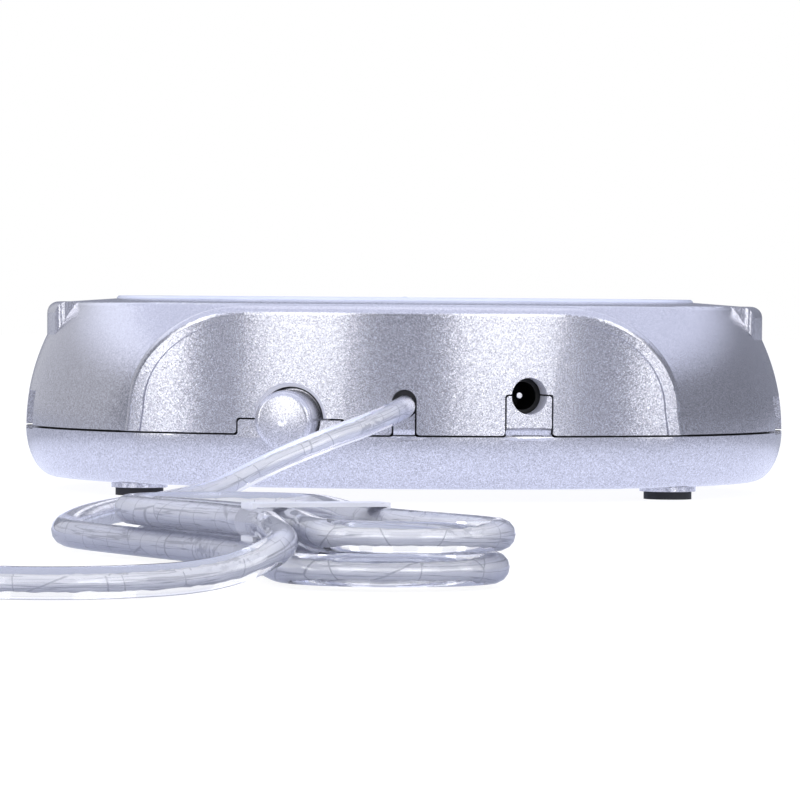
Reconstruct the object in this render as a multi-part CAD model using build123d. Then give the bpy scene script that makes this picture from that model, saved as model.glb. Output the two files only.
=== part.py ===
"""Round cup warmer with a four-port hub: a flared two-part case, a heating plate, and a clear cord.

Millimetres. +Z is up, the standing surface is z = 0, and the rear panel faces -Y.
"""

from build123d import *
import os
from math import asin, cos, degrees, radians, sin, sqrt, tan

# Levels, from the standing surface up
PAD_HEIGHT = 1.3
FOOT_HEIGHT = 0.9
LOWER_HEIGHT = 8.7
UPPER_HEIGHT = 21.15
CROWN_HEIGHT = 0.6
RING_HEIGHT = 0.5

BASE = PAD_HEIGHT + FOOT_HEIGHT
SEAM = BASE + LOWER_HEIGHT
TOP = SEAM + UPPER_HEIGHT
CROWN = TOP + CROWN_HEIGHT
RING_TOP = CROWN + RING_HEIGHT

# Heating plate and the ring round it
PLATE_RADIUS = 42.0
PLATE_THICK = 1.6
PLATE_BELOW_RING = 0.6
SKIRT_OUT = 3.7
RING_LIP = 3.9
RING_LEDGE_IN = 2.5
RING_LEDGE_THICK = 1.5
RING_GAP = 0.2
RING_BEVEL = 0.35

RING_SKIRT = PLATE_RADIUS + SKIRT_OUT
RING_RADIUS = RING_SKIRT + RING_LIP
RING_LEDGE = PLATE_RADIUS - RING_LEDGE_IN

# Case: a flared upper half over a shallow lower half
SHOULDER = 15.4
SEAM_RADIUS = RING_RADIUS + SHOULDER
FLARE_RADIUS = 36.0
TOP_EDGE_ROUND = 1.5
LOWER_ROUND = 5.0
WALL = 2.2
FLOOR = 2.0
SHADOW_GAP = 0.15
SHADOW_DEPTH = 1.5
FIT = 0.15

# Rear panel: a boss with a D-shaped outline and a face that bends less than the case
PANEL_INSET = 2.7
PANEL_BEND = 77.0
PANEL_RIM = 0.9
PANEL_STEP = 0.25
PANEL_ROUND = 1.6
PANEL_SIDE_IN = 20.7
PANEL_LEAN = 0.6
PANEL_CORNER_IN = 18.8
PANEL_CORNER_LEVEL = 4.2
PANEL_BELOW_TOP = 1.75
PANEL_LOW_IN = 14.3
PANEL_LOW_BELOW = 0.8
PANEL_LOW_ROUND = 3.8

PANEL_FRONT = SEAM_RADIUS - PANEL_INSET
PANEL_FACE = PANEL_FRONT - PANEL_STEP
PANEL_CENTRE = PANEL_BEND - PANEL_FRONT
PANEL_SEAM_HALF = SEAM_RADIUS - PANEL_SIDE_IN

# Side pods over the sockets
POD_INSET = 3.5
POD_HALF = 17.5
POD_ROUND = 1.9
POD_RADIUS = SEAM_RADIUS - POD_INSET

# Push button and its switch
BUTTON_ANGLE = -14.0
BUTTON_LEVEL = SEAM + 2.4
BUTTON_RADIUS = 4.85
BUTTON_GAP = 0.3
BUTTON_PROUD = 4.6
BUTTON_EDGE = 1.2
BUTTON_DOME = 0.5
BUTTON_TRAVEL = 2.5
BUTTON_TAB_WIDE = 17.6
BUTTON_BEVEL = 0.9
BUTTON_RIM = 0.35
TAB_DEEP = 8.0
TAB_CORNER = 0.5
TAB_GAP = 0.28
TAB_ROOT = 0.5
FLANGE_EXTRA = 1.0
FLANGE_THICK = 1.2
FLANGE_GAP = 0.3
PLUNGER_SIDE = 3.0
PLUNGER_IN = 3.5
SWITCH_SIZE = (8.0, 9.0, 6.0)
SWITCH_SETBACK = 4.7
SWITCH_CLEAR = 0.5
SPRING_WIRE = 0.4
SPRING_TURNS = 4

FLANGE_BACK = PANEL_FACE - WALL - FLANGE_GAP - FLANGE_THICK
SWITCH_FRONT = FLANGE_BACK - SWITCH_SETBACK

# Cable slot
SLOT_WIDE = 4.0
SLOT_TOP = 7.5
SLOT_TAB_TOP = 4.0
SLOT_TAB_SET_IN = 0.3
SCOOP_DEEP = 0.8
SCOOP_HIGH = 1.4
LIP_DEEP = 0.5
LIP_DROP = 1.0

# Power jack
JACK_ANGLE = 15.3
JACK_LEVEL = SEAM + 6.55
JACK_HOLE = 3.0
JACK_COLLAR = 0.9
JACK_COLLAR_DEEP = 1.8
JACK_TAB_WIDE = 7.6
JACK_SIZE = (9.0, 14.0, 11.0)
JACK_GAP = 0.3
JACK_BORE = 2.3
JACK_BORE_DEEP = 9.0
JACK_CHAMFER = 1.0
JACK_PIN = 0.65
JACK_PIN_BELOW = 1.4
JACK_PIN_ROUND = 0.25
LEAF_SIZE = (1.8, 6.2, 0.35)
LEAF_SLOT = (2.2, 0.9)
LEAF_BEHIND = 2.5

JACK_FRONT = PANEL_FACE - WALL - JACK_COLLAR_DEEP - JACK_GAP

# Feet and case screws
FOOT_INSET = 10.6
FOOT_ANGLE = 36.0
FOOT_RADIUS = 4.7
PAD_RADIUS = 4.0
BOSS_RADIUS = 4.2
CASE_SCREW = 1.5
CASE_SCREW_HEAD = 2.8
CASE_SCREW_HEAD_HIGH = 2.0
CASE_SCREW_LONG = 15.0
SCREW_CLEAR = 0.1

# Circuit board
BOARD_THICK = 1.6
BOARD_RISE = 5.0
BOARD_CLEAR = 1.85
BOARD_SHOULDER = 8.0
BOARD_FRONT = 18.0
BOARD_BORDER = 1.75
BOARD_REAR_HALF = 30.0
BOARD_NOTCH_CLEAR = 0.5
POST_IN = 12.0
POST_Y = 10.0
REAR_POST_Y = -28.0
POST_RADIUS = 3.0
BOARD_SCREW = 1.2
BOARD_SCREW_HEAD = 2.4
BOARD_SCREW_HEAD_HIGH = 1.6
BOARD_SCREW_LONG = 5.0

BOARD_BOTTOM = BASE + FLOOR + BOARD_RISE
BOARD_TOP = BOARD_BOTTOM + BOARD_THICK
BOARD_REACH = PANEL_FACE - WALL - BOARD_CLEAR
BOARD_RADIUS = BOARD_REACH - BOARD_SHOULDER

# Components on the board
CHIP_PLACE = (0.0, -1.0)
CHIP_SIZE = (7.6, 10.0, 1.5)
CHIP_CHAMFER = 0.3
CHIP_LEGS = 7
CHIP_LEG_PITCH = 1.27
CHIP_LEG = (1.1, 0.45, 0.5)
CRYSTAL_PLACE = (-14.0, -2.0)
CRYSTAL_SIZE = (10.5, 4.5, 3.5)
CRYSTAL_ROUND = 0.5
LARGE_CAPACITOR = (3.2, 7.5)
SMALL_CAPACITOR = (2.5, 6.0)
CAPACITOR_ROUND = 0.4
CAPACITOR_PLACES = ((18.0, -22.0), (-22.0, -20.0))
SMALL_CAPACITOR_PLACE = (27.0, -16.0)

# Sockets
SOCKET_Y = 9.2
SOCKET_PROUD = 0.9
SOCKET_SIZE = (14.0, 13.1, 5.7)
SOCKET_SKIN = 0.35
SOCKET_CLEAR = 0.4
TONGUE_SIZE = (9.0, 11.0, 1.8)
TONGUE_DROP = 0.6
TONGUE_SET_IN = 1.5
SOCKET_FACE = POD_RADIUS + SOCKET_PROUD
BOARD_WING = SOCKET_Y + SOCKET_SIZE[1] / 2 + BOARD_BORDER

# Heating stack under the plate
HEATER_IN = 1.0
HEATER_THICK = 0.6
CUTOFF_RADIUS = 5.0
CUTOFF_LEDGE = 0.8
CUTOFF_LEG_X = 2.5
CUTOFF_LEG = (0.8, 3.2, 3.5)
INSULATION_THICK = 4.2
RETAINER_THICK = 1.5
RETAINER_OUT = 0.8
EAR_OUT = 4.8
EAR_ANGLES = (30, 150, 270)
EAR_RADIUS = 3.4
EAR_SCREW = 1.3
EAR_SCREW_HEAD = 2.5
EAR_SCREW_HEAD_HIGH = 1.8
EAR_SCREW_LONG = 4.2

HEATER_RADIUS = RING_LEDGE - HEATER_IN
RETAINER_RADIUS = RING_SKIRT + RETAINER_OUT
EAR_CIRCLE = RING_SKIRT + EAR_OUT
PLATE_TOP = RING_TOP - PLATE_BELOW_RING
PLATE_BOTTOM = PLATE_TOP - PLATE_THICK
HEATER_BOTTOM = PLATE_BOTTOM - HEATER_THICK
INSULATION_BOTTOM = HEATER_BOTTOM - INSULATION_THICK
RETAINER_BOTTOM = INSULATION_BOTTOM - RETAINER_THICK

# Indicator in the roof
LED_OUT = 3.9
LED_RADIUS = 1.5
LED_FLANGE = (1.9, 1.0)
LED_HIGH = 1.9
LED_LEG_X = 1.27
LED_LEG = 0.25
LED_LEG_LONG = 4.0
LED_SEAT = TOP - WALL
LED_Y = RING_RADIUS + LED_OUT

# Leads
LEAD_RADIUS = 0.6
LEAD_BEND = 2.0
LEAD_RISE = 5.0
LED_LEAD_DROP = 6.0
LED_LEAD_BACK = 23.5
LED_LEAD_END = 15.0
HEATER_LEAD_OUT = 9.0
HEATER_LEAD_MIDDLE = (3.0, 4.0, 8.0)
HEATER_LEAD_JOINT = (0.9, 3.0)

# Cord
CORD_DIAMETER = 3.7
GROMMET_FLANGE = 3.6
GROMMET_FLANGE_THICK = 1.5
GROMMET_TAIL = 3.0
GROMMET_TAIL_EXTRA = 0.8
GROMMET_SET_IN = 0.7
TAIL_RADIUS = 1.6
TAIL_BEND = 2.5
TAIL_RUNS = (5.0, 4.0, 5.0)
CONNECTOR_SIZE = (10.0, 6.0, 6.0)
CORD_DROP = 0.7
CORD_EXIT = 9.7
CORD_ARC_SHARE = 0.45
HANK_PLACE = (-12.0, -280.0)
HANK_TURN = -72.0
HANK_FAN = (-36.0, 14.8)
HANK_WAIST = (4.0, 8.2)
HANK_END = (34.0, 14.8)
HANK_LOW = 0.5
HANK_HIGH = 8.2
TIE_WIDE = 5.0
TIE_THICK = 0.5

SLOT_LEVEL = SEAM + SLOT_TOP - SLOT_WIDE / 2
CORD_LEVEL = SLOT_LEVEL - CORD_DROP
CORD_START = PANEL_FACE - GROMMET_SET_IN
GROMMET_INNER = PANEL_FACE - WALL - 2 * FIT
TAIL_START = GROMMET_INNER - GROMMET_FLANGE_THICK - GROMMET_TAIL
LAID = CORD_DIAMETER / 2

# Plug
PLUG_PLACE = (-66.0, -300.0)
PLUG_BODY = (15.6, 26.0, 8.0)
PLUG_ROUND = 2.0
PLUG_NECK = (3.6, 9.0)
PLUG_NECK_WALL = 0.6
PLUG_SHELL = (12.0, 12.0, 4.5)
PLUG_SKIN = 0.35
PLUG_TONGUE_THICK = 1.9
PLUG_TONGUE_SHORT = 0.5


# ---- Shared shapes ------------------------------------------------------------------------------


def turned(outline):
    """Solid of revolution about Z from a closed outline of (radius, level)."""
    return revolve(Plane.XZ * make_face(outline), Axis.Z)


def disc(radius, low, high, x=0.0, y=0.0):
    """Upright cylinder between two levels."""
    return Pos(x, y, low) * Cylinder(radius, high - low, align=(Align.CENTER, Align.CENTER, Align.MIN))


def block(low, high):
    """Box between two corners."""
    size = [b - a for a, b in zip(low, high)]
    middle = [(a + b) / 2 for a, b in zip(low, high)]
    return Pos(*middle) * Box(*size)


def rod(radius, inner, outer, level):
    """Cylinder along -Y at a level, between two distances behind the middle."""
    return Pos(0, -(inner + outer) / 2, level) * Rot(90, 0, 0) * Cylinder(radius, outer - inner)


def round_tube(path, radius):
    """Round tube along a path."""
    return sweep(Plane(path @ 0, z_dir=path % 0) * Circle(radius), path)


def on_panel(angle, shape):
    """Move a shape made at the middle of the rear panel round the panel's bend, towards +X."""
    return Pos(0, PANEL_CENTRE, 0) * Rot(0, 0, angle) * Pos(0, -PANEL_CENTRE, 0) * shape


def feet_places():
    """Centres of the four feet."""
    circle = SEAM_RADIUS - FOOT_INSET
    wide, deep = circle * cos(radians(FOOT_ANGLE)), circle * sin(radians(FOOT_ANGLE))
    return [(x, y) for x in (-wide, wide) for y in (-deep, deep)]


def post_places():
    """Centres of the board's three posts."""
    side = BOARD_RADIUS - POST_IN
    return [(-side, POST_Y), (side, POST_Y), (0, REAR_POST_Y)]


def ear_places():
    """Centres of the retainer's three ears."""
    return [(EAR_CIRCLE * sin(radians(a)), EAR_CIRCLE * cos(radians(a))) for a in EAR_ANGLES]


# ---- Case outlines ------------------------------------------------------------------------------


def upper_solid(inset):
    """Flared upper form, set in by a wall thickness from outside and top."""
    centre = SEAM_RADIUS - FLARE_RADIUS
    radius = FLARE_RADIUS - inset
    high = UPPER_HEIGHT - inset
    sweep = degrees(asin(high / radius))
    edge = (centre + radius * cos(radians(sweep)), SEAM + high)
    outline = (
        Line((0, SEAM), (centre + radius, SEAM))
        + CenterArc((centre, SEAM), radius, 0, sweep)
        + Polyline(edge, (RING_RADIUS, CROWN - inset), (0, CROWN - inset), (0, SEAM))
    )
    face = make_face(outline)
    corner = face.vertices().sort_by_distance(Vector(*edge, 0))[0]
    return revolve(Plane.XZ * fillet(corner, TOP_EDGE_ROUND), Axis.Z)


def lower_solid(rim, flat, inset):
    """Lower form: a quarter ellipse from the seam down to the flat base, set in by a wall."""
    wide = rim - flat - inset
    high = LOWER_HEIGHT - inset
    outline = (
        Line((0, SEAM), (rim - inset, SEAM))
        + EllipticalCenterArc((flat, SEAM), wide, high, -90)
        + Polyline((flat, SEAM - high), (0, SEAM - high), (0, SEAM))
    )
    return turned(outline)


def panel_prism(grow):
    """The rear panel's D-shaped outline, widened on all sides and run out towards -Y."""
    level = SEAM + PANEL_CORNER_LEVEL
    top = TOP - PANEL_BELOW_TOP + grow
    foot = PANEL_SEAM_HALF + grow
    side = foot - PANEL_LEAN
    corner = PANEL_SEAM_HALF - PANEL_CORNER_IN
    low_corner = PANEL_SEAM_HALF - PANEL_LOW_IN
    low = BASE - PANEL_LOW_BELOW - grow
    half = (
        Line((0, top), (corner, top))
        + EllipticalCenterArc((corner, level), side - corner, top - level)
        + Line((side, level), (foot, SEAM))
        + EllipticalCenterArc((low_corner, SEAM), foot - low_corner, SEAM - low, -90)
        + Polyline((low_corner, low), (0, low), (0, top))
    )
    face = make_face(half)
    whole = face + mirror(face, Plane.YZ)
    return extrude(Plane.XZ.offset(SEAM_RADIUS / 4) * whole, SEAM_RADIUS)


def core(radius, low=0.0, high=RING_TOP):
    """Cylinder about the case's axis."""
    return disc(radius, low, high)


def panel_core(front, low=0.0, high=RING_TOP):
    """Cylinder about the panel's centre of bend that reaches a distance behind the case's axis."""
    return disc(PANEL_CENTRE + front, low, high, 0, PANEL_CENTRE)


def shadow_slab():
    """Thin slab at the seam, outside the land where the two halves meet."""
    low, high = SEAM - SHADOW_GAP, SEAM + SHADOW_GAP
    land = core(SEAM_RADIUS - SHADOW_DEPTH, low, high) - panel_prism(0)
    land += panel_core(PANEL_FACE - SHADOW_DEPTH, low, high) & panel_prism(0)
    return core(SEAM_RADIUS + PANEL_INSET, low, high) - land


def panel_boss():
    """The panel's body, with the rounding that leads from its face into the top and the flare."""
    body = panel_core(PANEL_FRONT, SEAM, RING_TOP) & panel_prism(PANEL_ROUND)
    front = body.faces().filter_by(GeomType.CYLINDER).sort_by(Axis.Y)[0]
    edges = [e for e in front.edges() if e.center().Z > SEAM + FIT]
    return fillet(edges, PANEL_ROUND)


def lower_form(inset):
    """Lower half's form with the panel's body in place of the case behind it, set in by a wall."""
    reach = PANEL_CENTRE + PANEL_FACE
    panel = Pos(0, PANEL_CENTRE, 0) * lower_solid(reach, reach - PANEL_LOW_ROUND, inset)
    case = lower_solid(SEAM_RADIUS, SEAM_RADIUS - LOWER_ROUND, inset)
    return (case - panel_prism(0)) + (panel & panel_prism(0))


def side_pod(side):
    """Upright pod face over one pair of sockets, rounded into the top."""
    low = (side * SEAM_RADIUS / 2, -POD_HALF, SEAM)
    high = (side * (SEAM_RADIUS + 1), POD_HALF, TOP)
    corners = [sorted(pair) for pair in zip(low, high)]
    body = core(POD_RADIUS, SEAM, TOP) & block([c[0] for c in corners], [c[1] for c in corners])
    front = body.faces().filter_by(GeomType.CYLINDER).sort_by(Axis.X)[-1 if side > 0 else 0]
    edges = [e for e in front.edges() if e.center().Z > SEAM + FIT]
    return fillet(edges, POD_ROUND)


def tab_block(wide, top, foot, grow=0.0):
    """Block in front of a tab, from below the seam up to its top, widened below a level at its foot."""
    half = wide / 2 + grow
    spread = half + 2 * TAB_CORNER
    low = SEAM - FLOOR
    outline = Polyline(
        (-spread, low),
        (-spread, foot),
        (-half, foot),
        (-half, top + grow),
        (half, top + grow),
        (half, foot),
        (spread, foot),
        (spread, low),
        close=True,
    )
    face = make_face(outline)
    corners = [v for v in face.vertices() if abs(v.X) < spread - FIT]
    return extrude(Plane.XZ.offset(PANEL_FACE - TAB_DEEP) * fillet(corners, TAB_CORNER), 2 * TAB_DEEP)


def button_tab(foot, grow=0.0):
    """The tab round the lower half of the button."""
    return on_panel(BUTTON_ANGLE, tab_block(BUTTON_TAB_WIDE, BUTTON_LEVEL, foot, grow))


def jack_tab(foot, grow=0.0):
    """The tab round the lower half of the jack's hole."""
    return on_panel(JACK_ANGLE, tab_block(JACK_TAB_WIDE, JACK_LEVEL, foot, grow))


def slot_tab(foot):
    """The filler below the cord in its slot, hollowed to the cord's round."""
    filler = tab_block(SLOT_WIDE - 2 * TAB_GAP, SEAM + SLOT_TAB_TOP, foot)
    return filler - rod(LAID + FIT, PANEL_FACE - TAB_DEEP, PANEL_FACE + TAB_DEEP, CORD_LEVEL)


def slot_block(wide, top):
    """Radial slot with a round top."""
    level = top - wide / 2
    shape = tab_block(wide, level, SEAM + SHADOW_GAP)
    shape += block((-wide / 2, -PANEL_FACE - TAB_DEEP, SEAM), (wide / 2, -PANEL_FACE + TAB_DEEP, level))
    return shape + rod(wide / 2, PANEL_FACE - TAB_DEEP, PANEL_FACE + TAB_DEEP, level)


def button_hole():
    """Bore for the button, half in each part of the case, and its mouth: a bevel below a sunk rim."""
    radius = BUTTON_RADIUS + BUTTON_GAP
    wide = radius + BUTTON_BEVEL
    front = PANEL_FACE + BUTTON_PROUD
    seat = PANEL_FACE - BUTTON_RIM
    bore = rod(radius, PANEL_FACE - TAB_DEEP, front, BUTTON_LEVEL)
    cone = Cone(radius, wide, BUTTON_BEVEL, align=(Align.CENTER, Align.CENTER, Align.MIN))
    mouth = Pos(0, -seat + BUTTON_BEVEL, BUTTON_LEVEL) * Rot(90, 0, 0) * cone
    mouth += rod(wide, seat, front, BUTTON_LEVEL)
    return on_panel(BUTTON_ANGLE, bore), on_panel(BUTTON_ANGLE, mouth)


def jack_hole():
    """Round hole in front of the power jack, half in each part of the case."""
    return on_panel(JACK_ANGLE, rod(JACK_HOLE, PANEL_FACE - TAB_DEEP, SEAM_RADIUS + 2, JACK_LEVEL))


def jack_collar():
    """Collar behind the wall, round the jack's hole."""
    back = PANEL_FACE - WALL
    ring = rod(JACK_HOLE + JACK_COLLAR, back - JACK_COLLAR_DEEP, back + FIT, JACK_LEVEL)
    return on_panel(JACK_ANGLE, ring)


def scoop(wide):
    """Hollow across the foot of a tab."""
    radius = (SCOOP_HIGH**2 + SCOOP_DEEP**2) / (2 * SCOOP_DEEP)
    roller = Pos(0, SCOOP_DEEP - radius - PANEL_FACE, SEAM) * Rot(0, 90, 0) * Cylinder(radius, wide)
    return roller & block((-wide, -SEAM_RADIUS, SEAM), (wide, -PANEL_FACE + SCOOP_DEEP, SEAM + SCOOP_HIGH))


def lip(wide):
    """Shallow lens-shaped hollow at the seam, below a tab."""
    half = wide / 2
    arc = (half**2 + LIP_DROP**2) / (2 * LIP_DROP)
    turn = degrees(asin(half / arc))
    outline = CenterArc((0, LIP_DROP - arc), arc, 90 - turn, 2 * turn) + Line((-half, 0), (half, 0))
    lens = revolve(make_face(outline), Axis.X)
    return Pos(0, LIP_DEEP - LIP_DROP - PANEL_FACE, SEAM) * lens


def socket_openings():
    """Four openings that clear the sockets, across the seam."""
    half = SOCKET_SIZE[1] / 2 + SOCKET_CLEAR
    top = BOARD_TOP + SOCKET_SIZE[2] + SOCKET_CLEAR
    boxes = []
    for side in (-1, 1):
        for y in (-SOCKET_Y, SOCKET_Y):
            ends = sorted((side * (SOCKET_FACE - SOCKET_SIZE[0] / 2), side * (SEAM_RADIUS + 2)))
            boxes.append(block((ends[0], y - half, BOARD_TOP - SOCKET_CLEAR), (ends[1], y + half, top)))
    return boxes


# ---- Case ---------------------------------------------------------------------------------------


def upper_shell():
    """Flared upper half with the rear panel, the side pods, the roof opening and the bosses."""
    outer = upper_solid(0) + panel_boss()
    for side in (-1, 1):
        outer += side_pod(side)
    outer -= panel_prism(-PANEL_RIM) - panel_core(PANEL_FACE)
    cavity = upper_solid(WALL) - (panel_prism(WALL) - panel_core(PANEL_FACE - WALL))
    cavity += panel_core(PANEL_FACE - WALL, SEAM, TOP) & panel_prism(-PANEL_RIM - WALL)
    shell = outer - cavity
    shell -= core(RING_SKIRT + RING_GAP, SEAM, RING_TOP)
    roof = TOP - WALL - CROWN_HEIGHT
    for x, y in feet_places():
        shell += disc(BOSS_RADIUS, SEAM, TOP - WALL, x, y)
        shell -= disc(CASE_SCREW + SCREW_CLEAR, SEAM, SEAM + CASE_SCREW_LONG, x, y)
    for x, y in ear_places():
        shell += disc(EAR_RADIUS, INSULATION_BOTTOM, CROWN - WALL, x, y) - core(RING_SKIRT + RING_GAP)
        shell -= disc(EAR_SCREW + SCREW_CLEAR, INSULATION_BOTTOM, roof, x, y)
    shell -= disc(LED_RADIUS + SCREW_CLEAR, SEAM, RING_TOP, 0, LED_Y)
    shell += jack_collar()
    shell -= shadow_slab()
    mouth = SEAM + SHADOW_GAP
    tabs = (button_tab(mouth, TAB_GAP), jack_tab(mouth, TAB_GAP), slot_block(SLOT_WIDE, SEAM + SLOT_TOP))
    for hole in (*tabs, *button_hole(), jack_hole(), *socket_openings()):
        shell -= hole
    return shell


def lower_shell():
    """Shallow lower half with feet, screw bosses, board posts and the tabs that fill the openings."""
    shell = lower_form(0) - lower_form(FLOOR)
    back = panel_core(PANEL_FACE - WALL)
    wall = panel_core(PANEL_FACE, SEAM - TAB_ROOT, CROWN) - back
    slot_wall = panel_core(PANEL_FACE - SLOT_TAB_SET_IN, SEAM - TAB_ROOT, CROWN) - back
    slab = shadow_slab()
    for tab, face in ((button_tab, wall), (jack_tab, wall + jack_collar()), (slot_tab, slot_wall)):
        shell += face & tab(SEAM - SHADOW_GAP)
        slab -= tab(SEAM - SHADOW_GAP)
    for x, y in feet_places():
        shell += disc(FOOT_RADIUS, PAD_HEIGHT, BASE + FLOOR, x, y)
        shell += disc(BOSS_RADIUS, BASE, SEAM, x, y)
        shell -= disc(CASE_SCREW_HEAD + SCREW_CLEAR, PAD_HEIGHT, BASE + FLOOR, x, y)
        shell -= disc(CASE_SCREW + SCREW_CLEAR, BASE, SEAM, x, y)
    for x, y in post_places():
        shell += disc(POST_RADIUS, BASE, BOARD_BOTTOM, x, y)
        shell -= disc(BOARD_SCREW + SCREW_CLEAR, BASE + FLOOR, BOARD_BOTTOM, x, y)
    hollows = (scoop(SLOT_WIDE) + lip(3 * SLOT_WIDE), scoop(JACK_TAB_WIDE) + lip(2 * JACK_TAB_WIDE))
    slab += hollows[0] + on_panel(JACK_ANGLE, hollows[1])
    for hole in (slab, button_hole()[0], jack_hole(), *socket_openings()):
        shell -= hole
    return shell


def rubber_feet():
    """Four rubber pads over the case screws."""
    return Part() + [disc(PAD_RADIUS, 0, PAD_HEIGHT, x, y) for x, y in feet_places()]


def pan_screw(x, y, seat, shank, head, head_high, long, up):
    """Pan-head screw: its head lies under the seat and its shank runs up, or the other way round."""
    ends = (seat - head_high, seat, seat + long) if up else (seat + head_high, seat, seat - long)
    screw = disc(head, min(ends[:2]), max(ends[:2]), x, y)
    screw += disc(shank, min(ends[1:]), max(ends[1:]), x, y)
    rim = screw.edges().filter_by(GeomType.CIRCLE).sort_by(Axis.Z)[0 if up else -1]
    screw = fillet(rim, head_high / 3)
    slot = block((x - head, y - head / 8, ends[0] - head_high / 3), (x + head, y + head / 8, ends[0]))
    cross = slot if not up else Pos(0, 0, head_high / 3) * slot
    return screw - cross


def case_screws():
    """Four screws that hold the two halves of the case together, hidden by the rubber pads."""
    seat = BASE + FLOOR
    args = (seat, CASE_SCREW, CASE_SCREW_HEAD, CASE_SCREW_HEAD_HIGH, CASE_SCREW_LONG, True)
    return Part() + [pan_screw(x, y, *args) for x, y in feet_places()]


def board_screws():
    """Three screws that hold the circuit board on its posts."""
    args = (BOARD_TOP, BOARD_SCREW, BOARD_SCREW_HEAD, BOARD_SCREW_HEAD_HIGH, BOARD_SCREW_LONG, False)
    return Part() + [pan_screw(x, y, *args) for x, y in post_places()]


# ---- Heating stack ------------------------------------------------------------------------------


def plate_ring():
    """Raised ring round the heating plate, with the ledge that carries it and a skirt below."""
    seat = PLATE_RADIUS + RING_GAP
    outline = Polyline(
        (RING_LEDGE, PLATE_BOTTOM),
        (seat, PLATE_BOTTOM),
        (seat, RING_TOP - RING_BEVEL),
        (seat + RING_BEVEL, RING_TOP),
        (RING_RADIUS - RING_BEVEL, RING_TOP),
        (RING_RADIUS, RING_TOP - RING_BEVEL),
        (RING_RADIUS, CROWN),
        (RING_SKIRT, CROWN),
        (RING_SKIRT, INSULATION_BOTTOM),
        (RING_SKIRT - WALL, INSULATION_BOTTOM),
        (RING_SKIRT - WALL, PLATE_BOTTOM - RING_LEDGE_THICK),
        (RING_LEDGE, PLATE_BOTTOM - RING_LEDGE_THICK),
        close=True,
    )
    return turned(outline)


def heating_plate():
    """Flat metal plate that the cup stands on, with a softened rim."""
    plate = disc(PLATE_RADIUS, PLATE_BOTTOM, PLATE_TOP)
    return fillet(plate.edges().filter_by(GeomType.CIRCLE).sort_by(Axis.Z)[-1], RING_BEVEL)


def heater_film():
    """Thin heating element bonded under the plate."""
    return disc(HEATER_RADIUS, HEATER_BOTTOM, PLATE_BOTTOM)


def insulation_pad():
    """Heat-resistant felt pad under the element, with a hole for the cut-out."""
    pad = disc(HEATER_RADIUS, INSULATION_BOTTOM, HEATER_BOTTOM)
    return pad - disc(CUTOFF_RADIUS + RING_GAP, INSULATION_BOTTOM, HEATER_BOTTOM)


def thermal_cutoff():
    """Disc thermostat held against the element, standing through the pad."""
    body = disc(CUTOFF_RADIUS, INSULATION_BOTTOM, HEATER_BOTTOM)
    thick, wide, long = CUTOFF_LEG
    for x in (-CUTOFF_LEG_X, CUTOFF_LEG_X):
        low = (x - thick / 2, -wide / 2, INSULATION_BOTTOM - long)
        body += block(low, (x + thick / 2, wide / 2, INSULATION_BOTTOM))
    return body


def heater_retainer():
    """Dished holder that presses the stack against the plate, on three ears."""
    holder = disc(RETAINER_RADIUS, RETAINER_BOTTOM, INSULATION_BOTTOM)
    low = (-EAR_RADIUS, RETAINER_RADIUS - WALL, RETAINER_BOTTOM)
    high = (EAR_RADIUS, EAR_CIRCLE, INSULATION_BOTTOM)
    for angle in EAR_ANGLES:
        holder += Rot(0, 0, -angle) * (block(low, high) + disc(EAR_RADIUS, low[2], high[2], 0, EAR_CIRCLE))
    for x, y in ear_places():
        holder -= disc(EAR_SCREW + SCREW_CLEAR, RETAINER_BOTTOM, INSULATION_BOTTOM, x, y)
    return holder - disc(CUTOFF_RADIUS - CUTOFF_LEDGE, RETAINER_BOTTOM, INSULATION_BOTTOM)


def retainer_screws():
    """Three screws that hold the retainer to the upper half."""
    args = (RETAINER_BOTTOM, EAR_SCREW, EAR_SCREW_HEAD, EAR_SCREW_HEAD_HIGH, EAR_SCREW_LONG, True)
    return Part() + [pan_screw(x, y, *args) for x, y in ear_places()]


def heater_leads():
    """Two leads from the board up to the thermostat's legs."""
    leads = []
    middle, deep, rise = HEATER_LEAD_MIDDLE
    beside, below = HEATER_LEAD_JOINT
    for side in (-1, 1):
        x = side * CUTOFF_LEG_X
        foot = x + side * HEATER_LEAD_OUT
        points = [
            (foot, HEATER_LEAD_OUT, BOARD_TOP),
            (foot, HEATER_LEAD_OUT, BOARD_TOP + LEAD_RISE),
            (x + side * middle, deep, BOARD_TOP + rise),
            (x + side * beside, 0, INSULATION_BOTTOM - below),
        ]
        leads.append(round_tube(FilletPolyline(*points, radius=LEAD_BEND), LEAD_RADIUS))
    return Part() + leads


# ---- Electronics --------------------------------------------------------------------------------


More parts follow.
